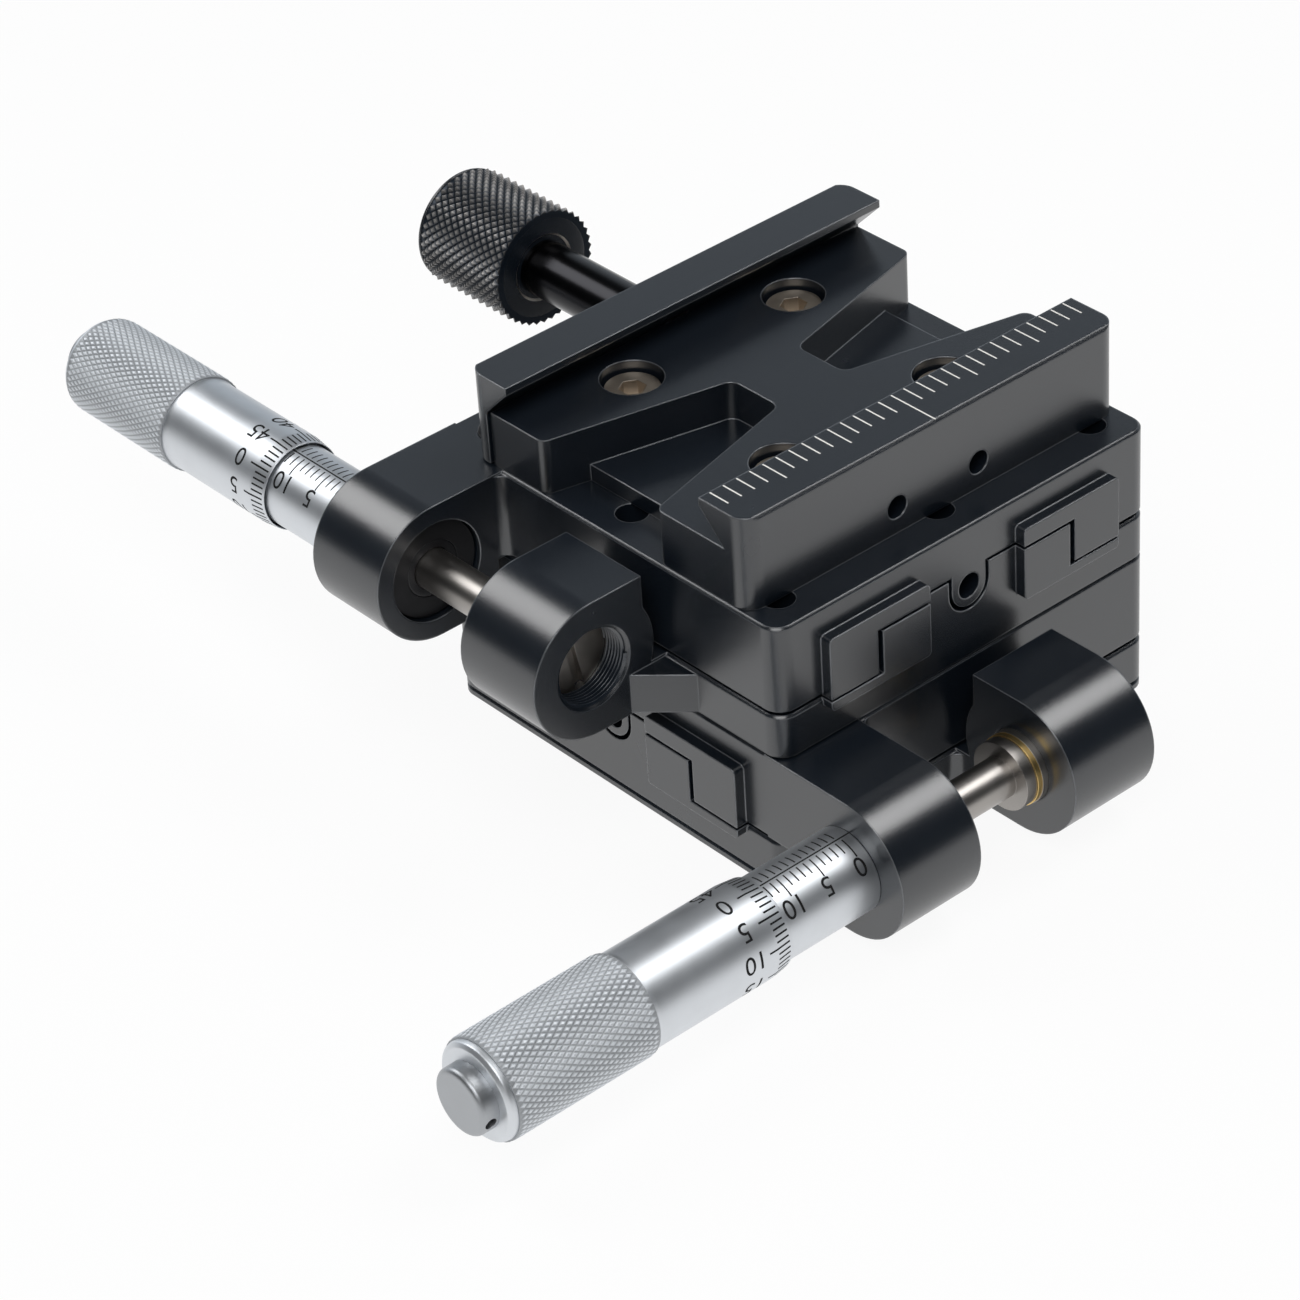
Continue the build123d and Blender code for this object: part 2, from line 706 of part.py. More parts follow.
def tripod_bush():
    """Steel bush with the tripod thread, let into the lower base."""
    return rod_z(bush_hole_r + bush_wall, 0, bush_len, 0, 0) - rod_z(bush_hole_r, -cut, bush_len + cut, 0, 0)


def joining_screws():
    """Socket screws through the upper base into the lower carriage."""
    seat = upper_z + base_plate_t - screw_head_h - head_fit
    length = seat - upper_z + joint_screw_bite
    screw = socket_screw(tapped_r - thread_fit, length, screw_head_r, screw_head_h, key_across, key_depth)
    return group([Pos(x, y, seat) * screw for x, y in corners(hole_grid, hole_grid)])


# ------------------------------------------------------------------ plate clamp
def clamp_plan(x_low, x_high, length, sharp_side, z_low, z_high):
    """Upright prism in plan, with the two corners away from sharp_side rounded."""
    body = box_between(x_low, x_high, -length / 2, length / 2, z_low, z_high)
    uprights = body.edges().filter_by(Axis.Z).sort_by(Axis.X)
    rounded = uprights[:2] if sharp_side > 0 else uprights[2:]
    return fillet(rounded, clamp_corner_r)


def along_y(outline, half_length):
    """Solid along Y from a closed outline of (x, z) points."""
    return extrude(Plane.XZ * make_face(Polyline(*outline, close=True)), half_length, both=True)


def pocket_cutter(side):
    """Relief pocket at one end of the clamp: a floor inside, and right through at the end face."""
    outer_y = clamp_half + cut
    spread = (pocket_mouth_w - pocket_inner_w) / 2 / (clamp_half - pocket_inner_y)
    outer_half = pocket_inner_w / 2 + spread * (outer_y - pocket_inner_y)
    outline = Polyline(
        (-pocket_inner_w / 2, side * pocket_inner_y),
        (pocket_inner_w / 2, side * pocket_inner_y),
        (outer_half, side * outer_y),
        (-outer_half, side * outer_y),
        close=True,
    )
    face = make_face(outline)
    inner = sorted(face.vertices(), key=lambda corner: abs(corner.Y))[:2]
    face = fillet(inner, pocket_corner_r)
    low_y, high_y = sorted((side * pocket_floor_y, side * outer_y))
    whole = extrude(Pos(0, 0, clamp_z - cut) * face, clamp_deck_t + 2 * cut)
    keep = box_between(-outer_half, outer_half, low_y, high_y, clamp_z - cut, deck_z + cut)
    keep += box_between(-outer_half, outer_half, -outer_y, outer_y, deck_z - pocket_depth, deck_z + cut)
    return whole & keep


def clamp_base():
    """Clamp base with the fixed jaw."""
    outline = [
        (clamp_end_x, clamp_z),
        (fixed_jaw_x, clamp_z),
        (fixed_jaw_x, jaw_top_z - jaw_break),
        (fixed_jaw_x - jaw_break, jaw_top_z),
        (fixed_lip_x, jaw_top_z),
        (fixed_lip_x, jaw_top_z - jaw_land),
        (fixed_root_x, deck_z),
        (clamp_end_x, deck_z),
    ]
    body = along_y(outline, clamp_half)
    body &= clamp_plan(clamp_end_x, fixed_jaw_x, clamp_len, -1, clamp_z, jaw_top_z)
    body -= pocket_cutter(-1)
    body -= pocket_cutter(1)
    mouth_reach = pocket_mouth_w / 2 + edge_break
    mouth = [
        edge
        for edge in body.edges().filter_by(Axis.Z)
        if abs(abs(edge.center().Y) - clamp_half) < edge_break and abs(edge.center().X) < mouth_reach
    ]
    body = fillet(mouth, pocket_mouth_r)
    for x, y in corners(mount_screw_x, mount_screw_y):
        body -= rod_z(tapped_r + head_fit, clamp_z - cut, deck_z, x, y)
        body -= rod_z(mount_bore_r, mount_seat_z, deck_z + cut, x, y)
    screw_end = clamp_end_x + screw_in + screw_hole_spare
    body -= rod_x(screw_r + running_fit, clamp_end_x - cut, screw_end, 0, deck_z - screw_z)
    for side in (-1, 1):
        y = side * pin_y
        body -= rod_x(pin_r + running_fit, clamp_end_x - cut, jaw_in_x + pin_in + cut / 2, y, deck_z - pin_z)
        hole_y = side * side_hole_pitch / 2
        hole_low = fixed_jaw_x - side_hole_depth
        body -= rod_x(side_hole_r, hole_low, fixed_jaw_x + cut, hole_y, deck_z - side_hole_z)
    return body


def clamp_mount_screws():
    """Four sunk socket screws that hold the clamp on the upper carriage."""
    thread_r = tapped_r - thread_fit
    screw = socket_screw(thread_r, mount_screw_len, screw_head_r, screw_head_h, key_across, key_depth)
    return group([Pos(x, y, mount_seat_z) * screw for x, y in corners(mount_screw_x, mount_screw_y)])


def moving_jaw():
    """Moving jaw: dovetail lip above, plain wall beside the clamp base below."""
    outline = [
        (jaw_out_x, clamp_z + jaw_lift),
        (jaw_in_x, clamp_z + jaw_lift),
        (jaw_in_x, deck_z),
        (jaw_in_x + jaw_dovetail, jaw_top_z - jaw_land),
        (jaw_in_x + jaw_dovetail, jaw_top_z),
        (jaw_out_x + jaw_break, jaw_top_z),
        (jaw_out_x, jaw_top_z - jaw_break),
    ]
    body = along_y(outline, moving_jaw_len / 2)
    plan_x = jaw_in_x + jaw_dovetail
    body &= clamp_plan(jaw_out_x, plan_x, moving_jaw_len, 1, clamp_z, jaw_top_z)
    body -= rod_x(screw_r + running_fit, jaw_out_x - cut, jaw_in_x + cut, 0, deck_z - screw_z)
    body -= rod_x(clip_r + clip_gap, jaw_in_x - clip_seat, jaw_in_x + cut, 0, deck_z - screw_z)
    for side in (-1, 1):
        body -= rod_x(pin_r, jaw_out_x - cut, jaw_in_x + cut, side * pin_y, deck_z - pin_z)
    return body


def jaw_guide_pins():
    """Pins pressed in the moving jaw, which slide in the clamp base."""
    pins = []
    for side in (-1, 1):
        pin = rod_x(pin_r, jaw_out_x - pin_out, jaw_in_x + pin_in, side * pin_y, deck_z - pin_z)
        pins.append(fillet(pin.faces().sort_by(Axis.X)[0].edges(), pin_r / 2))
    return group(pins)


def clamp_screw():
    """Clamp screw with its thick bare shaft."""
    z = deck_z - screw_z
    shoulder = jaw_out_x - running_fit
    shaft = rod_x(shaft_r, knob_end_x + knob_wall, shoulder, 0, z)
    thread = rod_x(screw_r, shoulder, clamp_end_x + screw_in, 0, z)
    return shaft + chamfer(thread.faces().sort_by(Axis.X)[-1].edges(), edge_break)


def jaw_clip():
    """Retaining clip on the screw, sunk in the moving jaw's inner side."""
    start = jaw_in_x - clip_seat + running_fit
    ring = rod_x(clip_r, start, start + clip_t, 0, deck_z - screw_z)
    return ring - rod_x(screw_r, start - cut, start + clip_t + cut, 0, deck_z - screw_z)


def clamp_knob():
    """Round grip knob with a recessed hub face."""
    profile = [
        (knob_end_x, 0),
        (knob_end_x, knob_r - knob_break),
        (knob_end_x + knob_break, knob_r),
        (knob_face_x - knob_break, knob_r),
        (knob_face_x, knob_r - knob_break),
        (knob_face_x, hub_r),
        (knob_face_x - hub_depth, hub_r - hub_depth),
        (knob_face_x - hub_depth, shaft_r),
        (knob_end_x + knob_wall, shaft_r),
        (knob_end_x + knob_wall, 0),
    ]
    return turned_x(profile, 0, deck_z - screw_z)


# ------------------------------------------------------------------ assembly
def stage_nodes(prefix, place, base, top_holes):
    """All pieces of one stage, moved to their place."""
    pieces = {
        "base": base,
        "inner_rails": inner_rails(),
        "inner_rail_screws": inner_rail_screws(),
        "thrust_washer": thrust_washer(),
        "thrust_ring": thrust_ring(),
        "journal_bush": journal_bush(),
        "bearing_plug": bearing_plug(),
        "roller_cages": roller_cages(),
        "rollers": crossed_rollers(),
        "carriage": carriage(top_holes),
        "outer_rails": outer_rails(),
        "outer_rail_screws": outer_rail_screws(),
        "preload_screws": preload_screws(),
        "sleeve": sleeve(),
        "sleeve_nut": sleeve_nut(),
        "spindle": spindle(),
        "spindle_nut": spindle_nut(),
        "thimble": thimble(),
        "thimble_cap": thimble_cap(),
    }
    return {prefix + "_" + name: place * shape for name, shape in pieces.items()}


def lower_base():
    """Lower stage's base: the common base, bored for the tripod bush and the cover's screws."""
    body = stage_base() - rod_z(bush_hole_r + bush_wall, -cut, bush_len - cover_t, 0, 0)
    for x, y in corners(cover_screw_grid / 2, cover_screw_grid / 2):
        body -= rod_z(cover_screw_r + thread_fit, -cut, cover_screw_len - cover_t + head_fit, x, y)
    return body


def all_nodes():
    """Every piece of the object by its node's name."""
    nodes = {
        "base_cover_plate": base_cover_plate(),
        "cover_screws": group(
            [Pos(x, y, 0) * cover_screw() for x, y in corners(cover_screw_grid / 2, cover_screw_grid / 2)]
        ),
        "tripod_bush": tripod_bush(),
        "stage_joining_screws": joining_screws(),
        "clamp_base": clamp_base(),
        "clamp_mount_screws": clamp_mount_screws(),
        "moving_jaw": moving_jaw(),
        "jaw_guide_pins": jaw_guide_pins(),
        "clamp_screw": clamp_screw(),
        "jaw_clip": jaw_clip(),
        "clamp_knob": clamp_knob(),
    }
    lower_place = Pos(0, 0, cover_t) * Rot(0, 0, 90)
    nodes.update(stage_nodes("lower", lower_place, lower_base(), []))
    clamp_holes = corners(mount_screw_x, mount_screw_y)
    nodes.update(stage_nodes("upper", Pos(0, 0, upper_z), stage_base(), clamp_holes))
    return nodes


os.makedirs("parts", exist_ok=True)
for node, shape in all_nodes().items():
    export_step(shape, "parts/" + node + ".step")
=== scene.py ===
"""Finishes for a two-way macro focusing rail: graduated heads, knurling, engraved scales and metal surfaces."""
import json
import math

import bmesh
import bpy
from mathutils import Matrix, Vector


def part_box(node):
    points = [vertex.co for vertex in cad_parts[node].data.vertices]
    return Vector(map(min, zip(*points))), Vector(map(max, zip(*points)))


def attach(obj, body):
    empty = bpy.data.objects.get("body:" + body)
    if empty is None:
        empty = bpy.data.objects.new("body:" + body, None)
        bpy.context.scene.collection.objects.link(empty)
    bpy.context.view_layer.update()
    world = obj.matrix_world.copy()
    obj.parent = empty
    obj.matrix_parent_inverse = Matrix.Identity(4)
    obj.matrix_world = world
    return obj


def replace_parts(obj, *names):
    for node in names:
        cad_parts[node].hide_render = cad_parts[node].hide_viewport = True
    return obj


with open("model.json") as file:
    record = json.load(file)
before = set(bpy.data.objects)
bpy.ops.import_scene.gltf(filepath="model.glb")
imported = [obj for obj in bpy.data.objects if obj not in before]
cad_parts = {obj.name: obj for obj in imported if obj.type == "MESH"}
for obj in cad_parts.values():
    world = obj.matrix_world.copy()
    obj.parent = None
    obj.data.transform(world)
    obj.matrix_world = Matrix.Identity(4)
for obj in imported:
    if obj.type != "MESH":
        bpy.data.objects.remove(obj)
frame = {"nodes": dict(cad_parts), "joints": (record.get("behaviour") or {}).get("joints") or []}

bl_info = {
    "name": "Macro Rail Finisher",
    "version": (1, 0, 0),
    "blender": (4, 5, 0),
    "location": "3D View > Sidebar > Macro Rail",
    "description": "Dresses a crossed micrometer slide with scales, knurling and metal finishes",
    "category": "Object",
}

JOINTS = {joint["name"]: joint for joint in frame["joints"]}
THIMBLE_LOW, THIMBLE_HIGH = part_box("upper_thimble")
SLEEVE_LOW, SLEEVE_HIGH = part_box("upper_sleeve")
KNOB_LOW, KNOB_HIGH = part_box("clamp_knob")
CLAMP_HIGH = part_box("clamp_base")[1]

STAGES = {
    "lower": {"base": "lower_stage_base", "slide": "lower_slide", "head": "lower_micrometer"},
    "upper": {"base": "lower_slide", "slide": "upper_slide", "head": "upper_micrometer"},
}

# Lengths in metres
EDGE_BREAK = 0.00012  # rolled edge of turned and machined metal
PLATE_EDGE = 0.00032  # rolled edge of the anodised plates
COVER_EDGE = 0.00018  # rolled edge of the thin cover plate
KNOB_EDGE = 0.0002  # rolled edge of the clamp knob's faces
THREAD_EDGE = 0.00008  # rolled edge of the bearing threads
FLUSH = 0.00003  # how far a face stands inside the solid that it covers

# Degrees above which an edge stays sharp
TURNED_SHARP = 35
THREAD_SHARP = 50

# Length of a chamfer along its axis, as a share of its depth
THIMBLE_CHAMFER_SHARE = 0.8
KNOB_CHAMFER_SHARE = 0.75

# The engraved scales
HALF_MILLIMETRE = 0.0005
SLEEVE_LINES = 51
SLEEVE_SCALE_END = 0.0255  # from the zero line to the end of the baseline
LINES_PER_LONG_LINE = 10
THIMBLE_DIVISIONS = 50
DIVISIONS_PER_FIGURE = 5

# The studio, in metres
LAMPS = (
    ("left_lamp", (-0.40, -0.15, 0.45), 0.34, "left"),
    ("rear_lamp", (0.14, 0.31, 0.54), 0.34, "rear"),
    ("fill_lamp", (0.26, -0.30, 0.50), 0.46, "fill"),
)
LAMP_TARGET = (0.0, 0.0, 0.02)
CAMERA_PLACE = (0.350726, -0.309412, 0.337037)
CAMERA_RIGHT = (0.660416, 0.748936, -0.054271)
CAMERA_UP = (-0.403643, 0.415021, 0.815371)
CAMERA_SHIFT = (-0.0019, -0.0028)  # shares of the picture's width
CAMERA_REACH = (0.01, 20.0)  # nearest and farthest things that it shows
SENSOR_WIDTH = 36.0  # in millimetres
TABLE_RADIUS = 6.0
BACKDROP_WAY = (-0.74, 0.67, 0.0)  # from the object to the middle of the pale backdrop
BACKDROP_TOP = (28.0, 36.0)  # degrees above the table between which it fades out
BACKDROP_SIDE = (0.1, 0.6)  # cosines between which its side fades in
TABLE_GLOW = 0.93  # share of the table that shows as plain white
TABLE_GLOW_REACH = (0.26, 0.75)  # distances between which reflections of it fade to the lit table


# ------------------------------------------------------------------ sizes and colours a user would change
def length(name, description, default):
    return bpy.props.FloatProperty(
        name=name, description=description, default=default, unit="LENGTH", subtype="DISTANCE", precision=5
    )


def angle(name, description, default):
    return bpy.props.FloatProperty(
        name=name, description=description, default=math.radians(default), unit="ROTATION", subtype="ANGLE"
    )


def tint(name, description, default):
    return bpy.props.FloatVectorProperty(
        name=name, description=description, default=default, subtype="COLOR", size=3, min=0.0, max=1.0
    )


def count(name, description, default):
    return bpy.props.IntProperty(name=name, description=description, default=default, min=1)


def level(name, description, default):
    return bpy.props.FloatProperty(name=name, description=description, default=default, min=0.0)


class HeadSizes(bpy.types.PropertyGroup):
    shoulder: length("Sleeve shoulder", "Where the sleeve leaves its arm, along the head", -0.0300)
    shank: length("Shank radius", "Radius of the sleeve's shank in its arm", 0.0037)
    shank_bore: length("Shank bore", "Radius of the hole for the spindle in the shank", 0.00265)
    shank_depth: length("Shank bore depth", "How much of the shank's bore is built", 0.004)
    sleeve_bore: length("Sleeve bore", "Radius of the hole in the sleeve's open end", 0.0031)
    bore_depth: length("Bore depth", "How much of the sleeve's and thimble's bores is built", 0.010)
    zero: length("Zero line", "Place of the sleeve's zero line along the head", -0.0315)
    bevel: length("Thimble bevel", "Length of the bevelled scale edge", 0.0025)
    bevel_rise: length("Bevel rise", "How much the bevel opens out", 0.0003)
    clearance: length("Thimble clearance", "Space between the sleeve and the thimble", 0.0003)
    end_chamfer: length("End chamfer", "Chamfer at the thimble's closed end", 0.0005)
    end_hole: length("End hole", "Radius of the hole for the cap in the closed end", 0.0016)
    line: length("Line width", "Width of an engraved line on the sleeve", 0.0002)
    line_gap: length("Line gap", "Space between the baseline and its lines", 0.00035)
    short_line: length("Short line", "Length of a single division on the sleeve", 0.0017)
    long_line: length("Long line", "Length of every fifth division on the sleeve", 0.0027)
    edge_gap: length("Edge gap", "Space between the thimble's edge and its lines", 0.00035)
    thimble_line: length("Thimble line width", "Width of an engraved line on the thimble", 0.00023)
    thimble_short: length("Thimble short line", "Length of a single division on the thimble", 0.0019)
    thimble_long: length("Thimble long line", "Length of every fifth division on the thimble", 0.0032)
    figure: length("Figure height", "Height of the engraved figures", 0.0024)
    lift: length("Paint lift", "How far the paint stands off the metal", 0.000008)
    baseline: angle("Baseline", "Angle of the sleeve's baseline", 94.0)
    sleeve_figures: angle("Sleeve figures", "Angle of the sleeve's figures", 138.0)
    upper_zero: angle("Upper thimble zero", "Angle of the upper thimble's 0", 137.6)
    lower_zero: angle("Lower thimble zero", "Angle of the lower thimble's 0", 98.4)
    grip: length("Grip length", "Length of the knurled grip", 0.0200)
    figure_place: length("Figure place", "Middle of a thimble figure, from the thimble's edge", 0.0056)
    figure_shift: length("Figure shift", "How far a sleeve figure stands behind its line", 0.0003)
    grip_end: length("Grip end", "Bare end behind the grip", 0.001)
    grip_depth: length("Grip depth", "Depth of the grip's knurl", 0.00012)
    grip_rise: length("Grip rise", "How far the grip stands above the thimble", 0.0004)
    grip_root: length("Grip root", "How far the grip's ring reaches into the thimble", 0.0002)
    seat_rise: length("Seat rise", "How far the seat under the grip stands above the thimble", 0.0001)
    seat_ramp: length("Seat ramp", "Length of the slope up to the seat", 0.0006)
    grip_cells: count("Grip diamonds", "Diamonds round the grip", 50)
    grip_rows: count("Grip rows", "Half diamonds along the grip", 28)


class KnobSizes(bpy.types.PropertyGroup):
    cells: count("Knob diamonds", "Diamonds round the knob", 38)
    rows: count("Knob rows", "Half diamonds along the knob", 22)
    depth: length("Knurl depth", "Depth of the knurl", 0.00046)
    hub: length("Hub radius", "Radius of the chamfer round the shaft", 0.0045)
    hub_width: length("Hub width", "Width of the chamfer round the shaft", 0.00028)
    hub_depth: length("Hub depth", "Depth of the chamfer round the shaft", 0.00028)
    shaft: length("Shaft radius", "Radius of the knob's shaft", 0.0036)
    rim: length("Rim", "Plain rim at the knob's free end", 0.0006)
    rim_drop: length("Rim drop", "How far the rim stands below the knurl's points", 0.0003)
    rim_chamfer: length("Rim chamfer", "Chamfer of the rim", 0.0004)
    core_drop: length("Core drop", "How far the core stands below the knurl's points", 0.0011)
    core_slope: length("Core slope", "Length of the slope from the rim down to the core", 0.0002)
    corner: length("Corner", "Rounding of the corners of the knob's faces", 0.0001)
    root: length("Knurl root", "How far the knurl's ring reaches in from its points", 0.0012)
    inset: length("Knurl inset", "How far the knurl ends before the face", 0.00002)


class ThreadSizes(bpy.types.PropertyGroup):
    pitch: length("Pitch", "Pitch of the thread in a bearing arm's mouth", 0.0005)
    wall: length("Wall", "Radius of the thread's foot, inside the arm's wall", 0.00508)
    crest: length("Crest", "Radius of the thread's crest", 0.00474)
    foot: length("Foot", "Half the width of the ridge at its foot", 0.00024)
    crest_half: length("Crest width", "Half the width of the ridge at its crest", 0.00003)
    plug_gap: length("Plug gap", "Space between the plug and the first turn", 0.0001)
    reach: length("Reach", "Length of the thread", 0.0035)
    steps: count("Steps", "Steps in each turn", 72)


class ScaleSizes(bpy.types.PropertyGroup):
    pitch: length("Division", "Distance between the lines on the fixed jaw", 0.002)
    line: length("Line width", "Width of a line", 0.00021)
    near: length("Line start", "Where the lines start, from the middle", 0.0177)
    short: length("Short line", "Length of a single division", 0.0031)
    long: length("Long line", "Length of every fifth division", 0.0040)
    lines: count("Lines", "Lines on each side of the middle", 14)
    lift: length("Paint lift", "How far the paint stands off the metal", 0.000008)
    end_gap: length("End gap", "Bare edge beyond the middle line", 0.0002)


class FinishColours(bpy.types.PropertyGroup):
    anodised: tint("Black anodised", "Dyed anodised aluminium", (0.0058, 0.0088, 0.0135))
    # the edge colour is partly rubbed bare aluminium and partly a painted highlight along the edges
    worn: tint("Worn edge and highlight", "Anodised edge where it is rubbed", (0.50, 0.52, 0.55))
    satin: tint("Satin chrome", "Micrometer heads", (0.70, 0.725, 0.755))
    steel: tint("Ground steel", "Spindles and screws", (0.38, 0.36, 0.34))
    hardened: tint("Hardened steel", "Rails and rollers", (0.42, 0.42, 0.43))
    blackened: tint("Blackened steel", "Clamp screw and small screws", (0.022, 0.022, 0.024))
    brass: tint("Brass", "Washers, bushes and cages", (0.92, 0.66, 0.27))
    white_fill: tint("White fill", "Paint in the clamp's scale", (0.86, 0.84, 0.80))
    black_fill: tint("Black fill", "Paint in the head's scales", (0.012, 0.012, 0.013))
    # the knob knurl's points are lightened as a painted highlight
    ridge: tint("Knurl highlight", "Points of the clamp knob's knurl", (0.26, 0.25, 0.24))
    polished: tint("Polished chamfer", "Chamfer round the knob's shaft", (0.80, 0.74, 0.66))
    socket: tint("Socket steel", "Mounting screws of the clamp", (0.58, 0.51, 0.43))
    plug: tint("Plug steel", "Slotted plugs in the bearing arms", (0.44, 0.41, 0.375))


class StudioSettings(bpy.types.PropertyGroup):
    floor: tint("Floor", "Colour of the table", (0.90, 0.90, 0.90))
    backdrop: level("Backdrop", "Strength of the pale backdrop behind, up to a third of the way overhead", 0.64)
    overhead: level("Overhead", "Strength of the dim room above the backdrop", 0.04)
    sky: tint("Surround colour", "Colour of the light all round", (0.84, 0.92, 1.0))
    left: level("Left lamp", "Power of the lamp above at the left", 1.22)
    rear: level("Rear lamp", "Power of the lamp above at the rear", 1.4)
    fill: level("Fill lamp", "Power of the lamp above the camera", 1.9)
    lens: level("Lens", "Focal length in millimetres", 129.38)


# ------------------------------------------------------------------ finishes
class Signal:
    """The output of a shader node, for use in sums."""

    def __init__(self, graph, socket):
        self.graph = graph
        self.socket = socket

    def join(self, operation, first, second):
        return self.graph.node("ShaderNodeMath", {"operation": operation}, {0: first, 1: second})

    def __add__(self, other):
        return self.join("ADD", self, other)

    __radd__ = __add__

    def __sub__(self, other):
        return self.join("SUBTRACT", self, other)

    def __rsub__(self, other):
        return self.join("SUBTRACT", other, self)

    def __mul__(self, other):
        return self.join("MULTIPLY", self, other)

    __rmul__ = __mul__

    def either(self, other):
        return self.join("MAXIMUM", self, other)


class Graph:
    """A node tree in the making."""

    def __init__(self, tree):
        self.tree = tree

    def existing(self, kind):
        """The node of a kind that the tree started with."""
        return next(n for n in self.tree.nodes if n.type == kind)

    def fill(self, socket, value):
        """Gives a socket a number, a colour, a vector or a signal."""
        if isinstance(value, Signal):
            self.tree.links.new(value.socket, socket)
        elif isinstance(value, (int, float)):
            socket.default_value = value
        else:
            value = tuple(value)
            socket.default_value = (*value, 1.0) if socket.type == "RGBA" and len(value) == 3 else value

    def node(self, kind, settings=None, inputs=None, output=0):
        """Adds a node and returns one of its outputs."""
        made = self.tree.nodes.new(kind)
        for key, value in (settings or {}).items():
            setattr(made, key, value)
        for key, value in (inputs or {}).items():
            self.fill(made.inputs[key], value)
        return Signal(self, made.outputs[output])

    def ramp(self, signal, low, high, out_low, out_high):
        """Goes smoothly from one output to the other as the signal goes from low to high."""
        return self.node(
            "ShaderNodeMapRange",
            {"interpolation_type": "SMOOTHSTEP"},
            {"Value": signal, "From Min": low, "From Max": high, "To Min": out_low, "To Max": out_high},
        )


class Finish(Graph):
    """A material in the making, with one shader and the nodes that feed it."""

    def __init__(self, name, **fixed):
        self.material = bpy.data.materials.new(name)
        self.material.use_nodes = True
        super().__init__(self.material.node_tree)
        self.shader = self.existing("BSDF_PRINCIPLED")
        for socket, value in fixed.items():
            self.set(socket.replace("_", " "), value)

    def set(self, socket, value):
        """Fills one input of the shader."""
        self.fill(self.shader.inputs[socket], value)

    def place(self, stretch=(1.0, 1.0, 1.0)):
        """The place on the object, stretched along its axes."""
        here = self.node("ShaderNodeTexCoord", output="Object")
        return self.node("ShaderNodeVectorMath", {"operation": "MULTIPLY"}, {0: here, 1: stretch})

    def noise(self, vector, scale, detail=2.0):
        return self.node("ShaderNodeTexNoise", None, {"Vector": vector, "Scale": scale, "Detail": detail}, "Fac")

    def blend(self, factor, first, second):
        return self.node("ShaderNodeMix", {"data_type": "RGBA"}, {0: factor, 6: first, 7: second}, 2)

    def rounded(self, radius):
        """Normals that roll over the edges, as a small edge break does."""
        return self.node("ShaderNodeBevel", {"samples": 6}, {"Radius": radius}, "Normal")

    def edge(self, rolled):
        """1 on the rolled edges and 0 on the faces."""
        flat = self.node("ShaderNodeNewGeometry", output="True Normal")
        facing = self.node("ShaderNodeVectorMath", {"operation": "DOT_PRODUCT"}, {0: rolled, 1: flat}, "Value")
        return self.ramp(1.0 - facing, 0.02, 0.22, 0.0, 1.0)

    def bump(self, height, distance, normal=None):
        inputs = {"Height": height, "Distance": distance, "Strength": 1.0}
        if normal is not None:
            inputs["Normal"] = normal
        self.set("Normal", self.node("ShaderNodeBump", None, inputs, "Normal"))


def shaded(colour, factor):
    return tuple(channel * factor for channel in colour)


def anodised(name, colours, edge_radius, lightness=1.0):
    """Bead-blasted aluminium under a dyed anodic film; its edges are lightened, partly as rubbed bare metal and
    partly as a painted highlight.
    """
    finish = Finish(name, IOR=1.85)
    here = finish.place()
    patches = finish.noise(here, 90.0, 3.0)
    blast = finish.noise(here, 5500.0, 3.0)
    rolled = finish.rounded(edge_radius)
    edge = finish.edge(rolled)
    # painted highlight mixed with rubbed bare metal: a lighter metallic colour along the rolled edges
    rub_and_highlight = 0.45 * edge * finish.ramp(finish.noise(here, 500.0, 2.0), 0.25, 0.6, 0.7, 1.0)
    dark = shaded(colours.anodised, 0.85 * lightness)
    light = shaded(colours.anodised, 1.25 * lightness)
    finish.set("Base Color", finish.blend(rub_and_highlight, finish.blend(patches, dark, light), colours.worn))
    finish.set("Metallic", rub_and_highlight)
    finish.set("Roughness", 0.23 + patches * 0.06)
    finish.bump(blast, 0.000012, rolled)
    return finish.material


def satin_metal(name, colour, roughness, axis, grain=0.0000012):
    """Metal turned or ground round an axis, with fine lines round it."""
    finish = Finish(name, Metallic=1.0)
    stretch = [25.0, 25.0, 25.0]
    stretch["xyz".index(axis)] = 16000.0
    lines = finish.noise(finish.place(stretch), 1.0, 2.0)
    cloud = finish.noise(finish.place(), 260.0, 3.0)
    finish.set("Base Color", finish.blend(cloud, shaded(colour, 0.90), shaded(colour, 1.06)))
    finish.set("Roughness", roughness - 0.05 + cloud * 0.08 + lines * 0.05)
    finish.bump(lines, grain, finish.rounded(EDGE_BREAK))
    return finish.material


def machined_metal(name, colour, roughness, metallic=1.0):
    """Metal with no marked direction, lightly clouded, with rolled edges."""
    finish = Finish(name, Metallic=metallic)
    here = finish.place()
    cloud = finish.noise(here, 420.0, 4.0)
    fine = finish.noise(here, 9000.0, 2.0)
    finish.set("Base Color", finish.blend(cloud, shaded(colour, 0.8), shaded(colour, 1.12)))
    finish.set("Roughness", roughness - 0.06 + cloud * 0.14)
    finish.bump(fine, 0.0000015, finish.rounded(EDGE_BREAK))
    return finish.material


